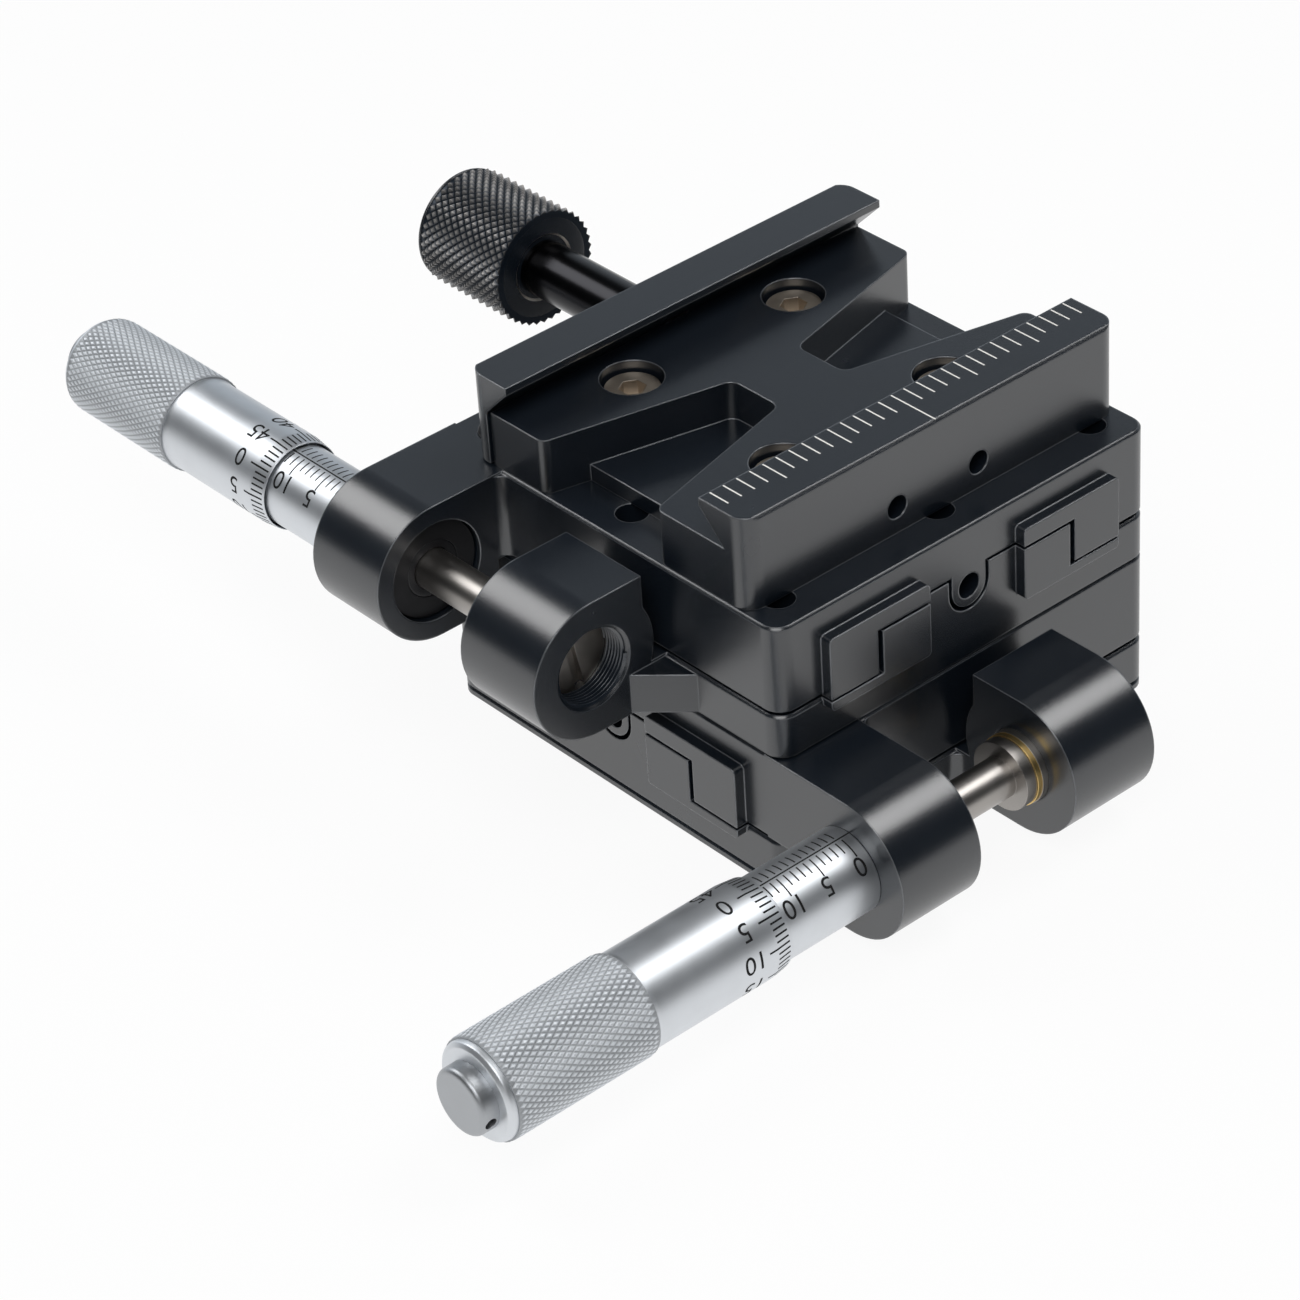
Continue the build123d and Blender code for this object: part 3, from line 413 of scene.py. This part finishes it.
def knurled_metal(name, low, high, radius, depth, axis, centre, roughness, metallic):
    """Knurled metal coloured by height: the grooves darker as painted shade, the points lighter as a painted
    highlight.
    """
    finish = Finish(name, Metallic=metallic)
    here = finish.place()
    across = [1.0, 1.0, 1.0]
    across["xyz".index(axis)] = 0.0
    off = finish.node("ShaderNodeVectorMath", {"operation": "SUBTRACT"}, {0: here, 1: centre})
    flat = finish.node("ShaderNodeVectorMath", {"operation": "MULTIPLY"}, {0: off, 1: across})
    reach = finish.node("ShaderNodeVectorMath", {"operation": "LENGTH"}, {0: flat}, "Value")
    height = finish.ramp(reach, radius - depth, radius, 0.0, 1.0)
    speck = finish.noise(here, 3500.0, 3.0)
    # painted shade in the grooves and painted highlight on the points, set by the knurl's height
    finish.set("Base Color", finish.blend(height, low, high))
    finish.set("Roughness", roughness + 0.08 * speck - 0.05 * height)
    finish.bump(speck, 0.000004)
    return finish.material


def engraving_fill(name, colour):
    """Enamel wiped into engraved lines, a little uneven."""
    finish = Finish(name, IOR=1.3)
    speck = finish.noise(finish.place(), 5200.0, 3.0)
    finish.set("Base Color", finish.blend(speck, shaded(colour, 0.82), shaded(colour, 1.08)))
    finish.set("Roughness", 0.62 + speck * 0.2)
    return finish.material


# ------------------------------------------------------------------ mesh helpers
FIGURE_SHARE = 0.73  # height of a figure in Blender's own font, as a share of the font's size
FIGURE_SLICE = 0.00016  # strips that a figure is cut into before it is wrapped round a surface
LINE_STEP = math.radians(3)  # turn between the points of a line that goes round a surface
CORNER_SHARE = 0.45  # most of a side that a rounded corner takes up


def head_place(joint_name):
    """Place of a turning head: X along its axis, Z up, and the axis at the origin."""
    joint = JOINTS[joint_name]
    along = Vector(joint["axis"])
    up = Vector((0.0, 0.0, 1.0))
    turn = Matrix((along, up.cross(along), up)).transposed().to_4x4()
    return Matrix.Translation(joint["pos_m"]) @ turn


def add_piece(name, mesh_maker, place, body, material, smooth=None):
    """Makes a mesh object that rides on a body; smooth is the angle above which an edge stays sharp."""
    bm = bmesh.new()
    mesh_maker(bm)
    bmesh.ops.transform(bm, matrix=place, verts=bm.verts)
    bmesh.ops.recalc_face_normals(bm, faces=bm.faces)
    mesh = bpy.data.meshes.new(name)
    bm.to_mesh(mesh)
    bm.free()
    mesh.materials.append(material)
    if smooth is None:
        mesh.shade_flat()
    else:
        mesh.shade_smooth()
        mesh.set_sharp_from_angle(angle=math.radians(smooth))
    piece = bpy.data.objects.new(name, mesh)
    bpy.context.collection.objects.link(piece)
    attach(piece, body)
    return piece


def around_axis(along, radius, turn):
    """A point at a place along the X axis, a distance from it and an angle round it."""
    return Vector((along, radius * math.cos(turn), radius * math.sin(turn)))


def ring(bm, along, radius, steps):
    """A ring of vertices, or the single one at its middle when it has no radius."""
    if radius <= 0.0:
        return [bm.verts.new((along, 0.0, 0.0))]
    return [bm.verts.new(around_axis(along, radius, math.tau * i / steps)) for i in range(steps)]


def skin(bm, first, second):
    """Faces between two rings, either of which may be a single point."""
    steps = max(len(first), len(second))
    for i in range(steps):
        corners = [first[i % len(first)], first[(i + 1) % len(first)]]
        corners += [second[(i + 1) % len(second)], second[i % len(second)]]
        corners = list(dict.fromkeys(corners))
        if len(corners) > 2:
            bm.faces.new(corners)


def eased(profile, size, steps=3):
    """The profile with its inner corners rounded off."""
    points = [Vector(p) for p in profile]
    made = [points[0]]
    for before, here, after in zip(points, points[1:], points[2:]):
        reach = min(size, (before - here).length * CORNER_SHARE, (after - here).length * CORNER_SHARE)
        start = here + (before - here).normalized() * reach
        end = here + (after - here).normalized() * reach
        for i in range(steps + 1):
            t = i / steps
            made.append(start * (1 - t) ** 2 + here * 2 * t * (1 - t) + end * t**2)
    made.append(points[-1])
    return [tuple(p) for p in made]


def turned(bm, profile, steps=160):
    """Skins a profile of (along, radius) points round the X axis."""
    rings = [ring(bm, along, radius, steps) for along, radius in profile]
    for first, second in zip(rings, rings[1:]):
        skin(bm, first, second)


def knurl(bm, start, end, radius, depth, cells, rows, flat, end_heights, inner):
    """Diamond knurl from start to end, with the height of its points at each end, closed to an inner radius."""
    half_turn = math.pi / cells
    half_step = (end - start) / rows
    low = radius - depth
    heights = {0: end_heights[0], rows: end_heights[1]}
    grid = {}
    for row in range(rows + 1):
        for column in range(2 * cells):
            peak = (row + column) % 2 == 0
            height = heights.get(row, 1.0) if peak else 0.0
            point = around_axis(start + row * half_step, low + depth * height, column * half_turn)
            grid[row, column] = None if peak and 0 < row < rows else bm.verts.new(point)

    def corner(row, column):
        return grid[row, column % (2 * cells)]

    for row in range(rows + 1):
        for column in range(2 * cells):
            if (row + column) % 2:
                continue
            sides = [(0, -1), (1, 0), (0, 1), (-1, 0)]
            if 0 < row < rows:
                outer = [corner(row + r, column + c) for r, c in sides]
                top = []
                for r, c in sides:
                    along = start + (row + r * flat) * half_step
                    top.append(bm.verts.new(around_axis(along, radius, (column + c * flat) * half_turn)))
                bm.faces.new(top)
                for i in range(4):
                    bm.faces.new((outer[i], outer[(i + 1) % 4], top[(i + 1) % 4], top[i]))
            else:
                inward = 1 if row == 0 else -1
                tip = corner(row + inward, column)
                centre = corner(row, column)
                bm.faces.new((corner(row, column - 1), centre, tip))
                bm.faces.new((centre, corner(row, column + 1), tip))
    for row, along in ((0, start), (rows, end)):
        edge = [corner(row, column) for column in range(2 * cells)]
        skin(bm, edge, ring(bm, along, inner, 2 * cells))


def painted_line(bm, along, turn, radius_at, lift):
    """A line on a turned surface, between two places along and two turns."""
    first_turn, spread = turn[0], turn[1] - turn[0]
    pieces = max(1, math.ceil(abs(spread) / LINE_STEP))
    turns = [first_turn + spread * i / pieces for i in range(pieces + 1)]
    rows = []
    for place in along:
        reach = radius_at(place) + lift
        rows.append([bm.verts.new(around_axis(place, reach, here)) for here in turns])
    for first, second in zip(rows, rows[1:]):
        for i in range(pieces):
            bm.faces.new((first[i], first[i + 1], second[i + 1], second[i]))


def figure_mesh(text, height):
    """Flat mesh of a number, centred on the origin."""
    curve = bpy.data.curves.new("figure", "FONT")
    curve.body = text
    curve.size = height / FIGURE_SHARE
    curve.align_x = "CENTER"
    curve.align_y = "CENTER"
    holder = bpy.data.objects.new("figure", curve)
    bpy.context.collection.objects.link(holder)
    bpy.context.view_layer.update()
    mesh = bpy.data.meshes.new_from_object(holder.evaluated_get(bpy.context.evaluated_depsgraph_get()))
    bpy.data.objects.remove(holder)
    bpy.data.curves.remove(curve)
    return mesh


def painted_figure(bm, text, height, along, turn, radius, lift):
    """A number wrapped on a turned surface: it reads towards the rear, with its top at the larger angle."""
    mesh = figure_mesh(text, height)
    part = bmesh.new()
    part.from_mesh(mesh)
    bpy.data.meshes.remove(mesh)
    slices = int(max(abs(v.co.y) for v in part.verts) / FIGURE_SLICE)
    for i in range(-slices, slices + 1):
        geometry = part.verts[:] + part.edges[:] + part.faces[:]
        cut = (0.0, i * FIGURE_SLICE, 0.0)
        bmesh.ops.bisect_plane(part, geom=geometry, plane_co=cut, plane_no=(0.0, 1.0, 0.0))
    copies = {
        v: bm.verts.new(around_axis(along - v.co.x, radius + lift, turn + v.co.y / radius)) for v in part.verts
    }
    for face in part.faces:
        bm.faces.new([copies[v] for v in face.verts])
    part.free()


def dress(nodes, material):
    """Gives CAD nodes a finish."""
    for name in nodes:
        mesh = frame["nodes"][name].data
        mesh.materials.clear()
        mesh.materials.append(material)


# ------------------------------------------------------------------ one operator for each group of pieces
class RAIL_OT_studio(bpy.types.Operator):
    """Sets the table, the soft lamps and the camera"""

    bl_idname = "rail.studio"
    bl_label = "Studio"

    def execute(self, context):
        settings = context.scene.rail_studio
        self.table(settings)
        self.surround(context, settings)
        for name, place, size, power in LAMPS:
            self.lamp(name, place, size, getattr(settings, power))
        self.camera(context, settings)
        return {"FINISHED"}

    def table(self, settings):
        """White paper: it shows as plain white to the camera and in metal, and keeps the object's shadow."""
        bm = bmesh.new()
        bmesh.ops.create_circle(bm, cap_ends=True, segments=96, radius=TABLE_RADIUS)
        mesh = bpy.data.meshes.new("table")
        bm.to_mesh(mesh)
        bm.free()
        finish = Finish("table_paper", Roughness=0.9)
        fibre = finish.noise(finish.place(), 700.0, 3.0)
        finish.set("Base Color", finish.blend(fibre, shaded(settings.floor, 0.99), settings.floor))
        rays = finish.node("ShaderNodeLightPath", output="Is Camera Ray")
        glossy = finish.node("ShaderNodeLightPath", output="Is Glossy Ray")
        clear = finish.node("ShaderNodeLightPath", output="Is Transmission Ray")
        reach = finish.node("ShaderNodeVectorMath", {"operation": "LENGTH"}, {0: finish.place()}, "Value")
        near = finish.ramp(reach, *TABLE_GLOW_REACH, 1.0, 0.0)
        seen = rays.either(glossy.either(clear) * near)
        glow = finish.tree.nodes.new("ShaderNodeEmission")
        mix = finish.tree.nodes.new("ShaderNodeMixShader")
        out = finish.existing("OUTPUT_MATERIAL")
        finish.fill(mix.inputs[0], seen * TABLE_GLOW)
        finish.tree.links.new(finish.shader.outputs[0], mix.inputs[1])
        finish.tree.links.new(glow.outputs[0], mix.inputs[2])
        finish.tree.links.new(mix.outputs[0], out.inputs[0])
        mesh.materials.append(finish.material)
        table = bpy.data.objects.new("table", mesh)
        bpy.context.collection.objects.link(table)

    def surround(self, context, settings):
        """A pale backdrop behind the object, low down, under a dim room."""
        world = bpy.data.worlds.new("soft_surround")
        world.use_nodes = True
        graph = Graph(world.node_tree)
        shade = graph.existing("BACKGROUND")
        way = graph.node("ShaderNodeTexCoord", output="Generated")
        height = graph.node("ShaderNodeSeparateXYZ", None, {0: way}, "Z")
        toward = {0: way, 1: BACKDROP_WAY}
        behind = graph.node("ShaderNodeVectorMath", {"operation": "DOT_PRODUCT"}, toward, "Value")
        low, high = (math.sin(math.radians(top)) for top in BACKDROP_TOP)
        pale = graph.ramp(height, low, high, 1.0, 0.0) * graph.ramp(behind, *BACKDROP_SIDE, 0.0, 1.0)
        graph.fill(shade.inputs["Color"], settings.sky)
        graph.fill(shade.inputs["Strength"], graph.ramp(pale, 0.0, 1.0, settings.overhead, settings.backdrop))
        context.scene.world = world

    def lamp(self, name, place, size, power):
        light = bpy.data.lights.new(name, "AREA")
        light.shape = "DISK"
        light.size = size
        light.energy = power
        lamp = bpy.data.objects.new(name, light)
        lamp.location = place
        lamp.rotation_mode = "QUATERNION"
        lamp.rotation_quaternion = (Vector(LAMP_TARGET) - Vector(place)).to_track_quat("-Z", "Y")
        lamp.visible_camera = False
        bpy.context.collection.objects.link(lamp)

    def camera(self, context, settings):
        lens = bpy.data.cameras.new("camera")
        lens.lens = settings.lens
        lens.sensor_width = SENSOR_WIDTH
        lens.shift_x, lens.shift_y = CAMERA_SHIFT
        lens.clip_start, lens.clip_end = CAMERA_REACH
        camera = bpy.data.objects.new("camera", lens)
        right, up = Vector(CAMERA_RIGHT), Vector(CAMERA_UP)
        back = right.cross(up)
        turn = Matrix((right, up, back)).transposed().to_4x4()
        camera.matrix_world = Matrix.Translation(CAMERA_PLACE) @ turn
        bpy.context.collection.objects.link(camera)
        context.scene.camera = camera
        context.scene.view_settings.view_transform = "Standard"


class RAIL_OT_plates(bpy.types.Operator):
    """Finishes the black plates, carriages and clamp"""

    bl_idname = "rail.plates"
    bl_label = "Plates and Clamp"

    def execute(self, context):
        colours = context.scene.rail_colours
        plates = ["lower_base", "lower_carriage", "upper_base", "upper_carriage", "clamp_base", "moving_jaw"]
        dress(plates, anodised("black_anodised", colours, PLATE_EDGE))
        dress(["base_cover_plate"], anodised("cover_anodised", colours, COVER_EDGE, lightness=1.3))
        return {"FINISHED"}


class RAIL_OT_hardware(bpy.types.Operator):
    """Finishes the screws, rails, rollers, washers and bushes"""

    bl_idname = "rail.hardware"
    bl_label = "Hardware"

    def execute(self, context):
        colours = context.scene.rail_colours
        bright = machined_metal("bright_steel", colours.steel, roughness=0.42)
        hardened = machined_metal("hardened_steel", colours.hardened, roughness=0.30)
        black = machined_metal("blackened_steel", colours.blackened, roughness=0.34, metallic=0.4)
        brass = machined_metal("brass", colours.brass, roughness=0.34)
        dress(["tripod_bush"], bright)
        dress(["clamp_mount_screws"], machined_metal("socket_steel", colours.socket, roughness=0.44))
        plug = machined_metal("plug_steel", colours.plug, roughness=0.38)
        dress(["stage_joining_screws", "jaw_clip"], hardened)
        dress(["cover_screws", "jaw_guide_pins"], black)
        for stage in STAGES:
            dress([f"{stage}_thrust_ring", f"{stage}_spindle_nut"], bright)
            dress([f"{stage}_bearing_plug"], plug)
            rails = ["inner_rails", "outer_rails", "rollers"]
            screws = ["inner_rail_screws", "outer_rail_screws", "preload_screws"]
            dress([f"{stage}_{name}" for name in rails + screws], hardened)
            dress([f"{stage}_thrust_washer", f"{stage}_journal_bush", f"{stage}_roller_cages"], brass)
            dress([f"{stage}_sleeve_nut"], black)
        shaft = satin_metal("shaft_steel", colours.blackened, roughness=0.22, axis="x", grain=0.0000008)
        dress(["clamp_screw"], shaft)
        return {"FINISHED"}


class RAIL_OT_heads(bpy.types.Operator):
    """Builds the two graduated heads: sleeves, thimbles, grips and caps"""

    bl_idname = "rail.heads"
    bl_label = "Graduated Heads"

    def execute(self, context):
        sizes = context.scene.rail_heads
        colours = context.scene.rail_colours
        paint = engraving_fill("black_fill", colours.black_fill)
        dark = machined_metal("blackened_shank", colours.blackened, roughness=0.42, metallic=0.4)
        self.sleeve_r = (SLEEVE_HIGH.z - SLEEVE_LOW.z) / 2
        self.grip_r = (THIMBLE_HIGH.z - THIMBLE_LOW.z) / 2
        self.thimble_r = self.grip_r - sizes.grip_rise
        for stage, bodies in STAGES.items():
            place = head_place(f"{stage}_thimble_turn")
            axis = "x" if stage == "upper" else "y"
            metal = satin_metal(f"satin_chrome_{axis}", colours.satin, roughness=0.42, axis=axis)
            ground = satin_metal(f"ground_steel_{axis}", colours.steel, roughness=0.34, axis=axis, grain=0.0000022)
            dress([f"{stage}_spindle"], ground)
            # the grip's grooves are darkened as painted shade and its points lightened as a painted highlight
            knurled = knurled_metal(
                f"knurled_chrome_{axis}", shaded(colours.satin, 0.62), shaded(colours.satin, 1.08),
                self.grip_r, sizes.grip_depth, axis, tuple(place.translation), roughness=0.60, metallic=1.0,
            )
            slide, head = bodies["slide"], bodies["head"]
            zero = sizes.upper_zero if stage == "upper" else sizes.lower_zero

            def piece(name, maker, body, slot, material, smooth=None):
                full_name = f"{stage}_{name}"
                return add_piece(full_name, lambda bm: maker(bm, sizes), place, body, material, smooth)

            def thimble_marks(bm, sizes):
                self.thimble_marks(bm, sizes, zero)

            sleeve = piece("scale_sleeve", self.sleeve, slide, "satin_chrome", metal, TURNED_SHARP)
            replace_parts(sleeve, f"{stage}_sleeve")
            piece("sleeve_shank", self.shank, slide, "black_anodised", dark, TURNED_SHARP)
            piece("sleeve_marks", self.sleeve_marks, slide, "satin_chrome", paint)
            thimble = piece("graduated_thimble", self.thimble, head, "satin_chrome", metal, TURNED_SHARP)
            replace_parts(thimble, f"{stage}_thimble")
            piece("thimble_marks", thimble_marks, head, "satin_chrome", paint)
            piece("thimble_grip", self.grip, head, "satin_chrome", knurled)
            cap = satin_metal(f"cap_steel_{axis}", shaded(colours.satin, 0.6), roughness=0.42, axis=axis)
            dress([f"{stage}_thimble_cap"], cap)
        return {"FINISHED"}

    def sleeve(self, bm, sizes):
        """Satin barrel of the sleeve, outside the arm, with the start of its bore."""
        low = SLEEVE_LOW.x
        profile = [(sizes.shoulder, sizes.shank), (sizes.shoulder, self.sleeve_r)]
        profile += [(low, self.sleeve_r), (low, sizes.sleeve_bore), (low + sizes.bore_depth, sizes.sleeve_bore)]
        turned(bm, eased(profile, EDGE_BREAK))

    def shank(self, bm, sizes):
        """Blackened shank of the sleeve, inside the arm."""
        high = SLEEVE_HIGH.x
        profile = [(high - sizes.shank_depth, sizes.shank_bore), (high, sizes.shank_bore), (high, sizes.shank)]
        turned(bm, eased(profile + [(sizes.shoulder, sizes.shank)], EDGE_BREAK))

    def sleeve_marks(self, bm, sizes):
        """Baseline, lines at each millimetre on one side of it and at each half on the other, and figures."""
        half = sizes.line / 2
        gap = sizes.line_gap / self.sleeve_r
        width = half / self.sleeve_r
        middle = (sizes.baseline - width, sizes.baseline + width)
        self.sleeve_line(bm, sizes, (sizes.shoulder, sizes.zero - SLEEVE_SCALE_END), middle)
        for step in range(SLEEVE_LINES):
            along = sizes.zero - step * HALF_MILLIMETRE
            side = -1 if step % 2 else 1
            reach = (sizes.short_line if step % LINES_PER_LONG_LINE else sizes.long_line) / self.sleeve_r
            turn = (sizes.baseline + side * gap, sizes.baseline + side * (gap + reach))
            self.sleeve_line(bm, sizes, (along + half, along - half), turn)
            if step % LINES_PER_LONG_LINE == 0:
                place = along - sizes.figure_shift
                painted_figure(
                    bm, str(step // 2), sizes.figure, place, sizes.sleeve_figures, self.sleeve_r, sizes.lift
                )

    def sleeve_line(self, bm, sizes, along, turn):
        painted_line(bm, along, turn, lambda place: self.sleeve_r, sizes.lift)

    def thimble(self, bm, sizes):
        """Thimble from its bevelled edge to its closed end, plain under the grip."""
        front, end = THIMBLE_HIGH.x, THIMBLE_LOW.x
        grip_end = end + sizes.grip_end
        grip_start = grip_end + sizes.grip
        seat = self.thimble_r + sizes.seat_rise
        bore = self.sleeve_r + sizes.clearance
        chamfer_start = end + sizes.end_chamfer * THIMBLE_CHAMFER_SHARE
        profile = [(front - sizes.bore_depth, bore), (front, bore), (front, self.thimble_r - sizes.bevel_rise)]
        profile += [(front - sizes.bevel, self.thimble_r), (grip_start + sizes.seat_ramp, self.thimble_r)]
        profile += [(grip_start, seat), (grip_end, seat), (chamfer_start, self.thimble_r)]
        profile += [(end, self.thimble_r - sizes.end_chamfer), (end, sizes.end_hole)]
        turned(bm, eased(profile, EDGE_BREAK))

    def thimble_marks(self, bm, sizes, zero):
        """Lines round the bevelled edge, with a figure at every fifth."""
        front = THIMBLE_HIGH.x
        edge = front - sizes.edge_gap
        bend = front - sizes.bevel

        def radius(along):
            part = min(1.0, (front - along) / sizes.bevel)
            return self.thimble_r - sizes.bevel_rise * (1 - part)

        for division in range(THIMBLE_DIVISIONS):
            numbered = division % DIVISIONS_PER_FIGURE == 0
            turn = zero + division * math.tau / THIMBLE_DIVISIONS
            spread = sizes.thimble_line / 2 / self.thimble_r
            stop = edge - (sizes.thimble_long if numbered else sizes.thimble_short)
            along = (edge, bend, stop) if stop < bend else (edge, stop)
            painted_line(bm, along, (turn - spread, turn + spread), radius, sizes.lift)
            if numbered:
                place = front - sizes.figure_place
                painted_figure(bm, str(division), sizes.figure, place, turn, self.thimble_r, sizes.lift)

    def grip(self, bm, sizes):
        """Fine knurl between low ends."""
        end = THIMBLE_LOW.x + sizes.grip_end
        knurl(
            bm, end, end + sizes.grip, self.grip_r, sizes.grip_depth, sizes.grip_cells, sizes.grip_rows,
            flat=0.34, end_heights=(0.25, 0.25), inner=self.thimble_r - sizes.grip_root,
        )


class RAIL_OT_knob(bpy.types.Operator):
    """Builds the clamp's knurled knob"""

    bl_idname = "rail.knob"
    bl_label = "Clamp Knob"

    def execute(self, context):
        sizes = context.scene.rail_knob
        colours = context.scene.rail_colours
        place = head_place("clamp_knob_turn")
        self.start = KNOB_LOW.x - place.translation.x
        self.end = KNOB_HIGH.x - place.translation.x
        self.face = self.end - FLUSH
        self.radius = (KNOB_HIGH.z - KNOB_LOW.z) / 2
        centre = tuple(place.translation)
        # the knurl's points take the ridge colour as a painted highlight over the lighter anodised grooves
        valley = shaded(colours.anodised, 2.4)
        grip = knurled_metal(
            "knurled_anodised", valley, colours.ridge, self.radius, sizes.depth, "x", centre,
            roughness=0.30, metallic=0.5,
        )
        black = anodised("knob_face_anodised", colours, KNOB_EDGE)
        polished = machined_metal("polished_hub", colours.polished, roughness=0.34)

        def piece(name, maker, material, smooth=None):
            body, slot = "clamp_drive", "black_anodised"
            return add_piece(name, lambda bm: maker(bm, sizes), place, body, material, smooth)

        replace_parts(piece("knob_knurl", self.knurl, grip), "clamp_knob")
        piece("knob_faces", self.faces, black, TURNED_SHARP)
        piece("knob_hub_floor", self.floor, black, TURNED_SHARP)
        piece("knob_hub", self.hub, polished, TURNED_SHARP)
        return {"FINISHED"}

    def knurl(self, bm, sizes):
        """Coarse sharp knurl, cut off square at the shaft's side."""
        knurl(
            bm, self.start + sizes.rim, self.end - sizes.inset, self.radius, sizes.depth, sizes.cells, sizes.rows,
            flat=0.08, end_heights=(0.0, 0.9), inner=self.radius - sizes.root,
        )

    def faces(self, bm, sizes):
        """Both faces and the plain rim at the free end, joined inside the knurl."""
        rim = self.radius - sizes.rim_drop
        core = self.radius - sizes.core_drop
        profile = [(self.start, 0.0), (self.start, rim - sizes.rim_chamfer)]
        profile += [(self.start + sizes.rim_chamfer * KNOB_CHAMFER_SHARE, rim), (self.start + sizes.rim, rim)]
        slope_end = self.start + sizes.rim + sizes.core_slope
        profile += [(slope_end, core), (self.face, core), (self.face, sizes.hub)]
        turned(bm, eased(profile, sizes.corner))

    def floor(self, bm, sizes):
        """Black floor of the hub's recess, up to the shaft."""
        deep = self.end - sizes.hub_depth
        turned(bm, [(deep, sizes.hub - sizes.hub_width), (deep, sizes.shaft)])

    def hub(self, bm, sizes):
        """Polished chamfer round the shaft's hole."""
        deep = self.end - sizes.hub_depth
        turned(bm, [(self.face, sizes.hub), (deep, sizes.hub - sizes.hub_width)])


class RAIL_OT_threads(bpy.types.Operator):
    """Cuts the thread rings in the rear mouth of each bearing arm"""

    bl_idname = "rail.threads"
    bl_label = "Bearing Threads"

    def execute(self, context):
        sizes = context.scene.rail_thread
        material = anodised("thread_anodised", context.scene.rail_colours, THREAD_EDGE, lightness=1.6)
        for stage, bodies in STAGES.items():
            place = head_place(f"{stage}_thimble_turn")
            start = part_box("upper_bearing_plug")[1].x + sizes.plug_gap
            add_piece(
                f"{stage}_bearing_thread", lambda bm: self.thread(bm, sizes, start),
                place, bodies["base"], material, THREAD_SHARP,
            )
        return {"FINISHED"}

    def thread(self, bm, sizes, start):
        """A triangular ridge wound inside the bore."""
        profile = [(-sizes.foot, sizes.wall), (-sizes.crest_half, sizes.crest)]
        profile += [(sizes.crest_half, sizes.crest), (sizes.foot, sizes.wall)]
        rows = []
        for i in range(int(sizes.reach / sizes.pitch * sizes.steps) + 1):
            along = start + sizes.pitch * i / sizes.steps
            turn = math.tau * i / sizes.steps
            rows.append([bm.verts.new(around_axis(along + offset, radius, turn)) for offset, radius in profile])
        for first, second in zip(rows, rows[1:]):
            for i in range(len(profile) - 1):
                bm.faces.new((first[i], first[i + 1], second[i + 1], second[i]))


class RAIL_OT_jaw_scale(bpy.types.Operator):
    """Engraves the scale on top of the fixed jaw"""

    bl_idname = "rail.jaw_scale"
    bl_label = "Jaw Scale"

    def execute(self, context):
        sizes = context.scene.rail_scale
        paint = engraving_fill("white_fill", context.scene.rail_colours.white_fill)
        here, body, slot = Matrix.Identity(4), "upper_slide", "black_anodised"
        add_piece("jaw_scale_marks", lambda bm: self.lines(bm, sizes), here, body, paint)
        return {"FINISHED"}

    def lines(self, bm, sizes):
        """Lines across the jaw's top, longer at every fifth and right across at the middle."""
        top = CLAMP_HIGH.z + sizes.lift
        for division in range(-sizes.lines, sizes.lines + 1):
            middle = division * sizes.pitch
            reach = sizes.short if division % DIVISIONS_PER_FIGURE else sizes.long
            far = sizes.near + reach if division else CLAMP_HIGH.x - sizes.end_gap
            corners = [(sizes.near, -1), (far, -1), (far, 1), (sizes.near, 1)]
            bm.faces.new([bm.verts.new((x, middle + side * sizes.line / 2, top)) for x, side in corners])


class RAIL_PT_panel(bpy.types.Panel):
    bl_idname = "RAIL_PT_panel"
    bl_label = "Macro Rail"
    bl_space_type = "VIEW_3D"
    bl_region_type = "UI"
    bl_category = "Macro Rail"

    def draw(self, context):
        for operator in OPERATORS:
            self.layout.operator(operator.bl_idname)


GROUPS = {
    "rail_heads": HeadSizes,
    "rail_knob": KnobSizes,
    "rail_thread": ThreadSizes,
    "rail_scale": ScaleSizes,
    "rail_colours": FinishColours,
    "rail_studio": StudioSettings,
}
OPERATORS = (
    RAIL_OT_studio,
    RAIL_OT_plates,
    RAIL_OT_hardware,
    RAIL_OT_heads,
    RAIL_OT_knob,
    RAIL_OT_threads,
    RAIL_OT_jaw_scale,
)


def register():
    for made in (*GROUPS.values(), *OPERATORS, RAIL_PT_panel):
        bpy.utils.register_class(made)
    for name, group in GROUPS.items():
        setattr(bpy.types.Scene, name, bpy.props.PointerProperty(type=group))


def unregister():
    for name in GROUPS:
        delattr(bpy.types.Scene, name)
    for made in reversed((*GROUPS.values(), *OPERATORS, RAIL_PT_panel)):
        bpy.utils.unregister_class(made)


def main():
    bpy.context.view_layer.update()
    register()
    bpy.ops.rail.studio()
    bpy.ops.rail.plates()
    bpy.ops.rail.hardware()
    bpy.ops.rail.heads()
    bpy.ops.rail.knob()
    bpy.ops.rail.threads()
    bpy.ops.rail.jaw_scale()


if __name__ == "__main__":
    main()
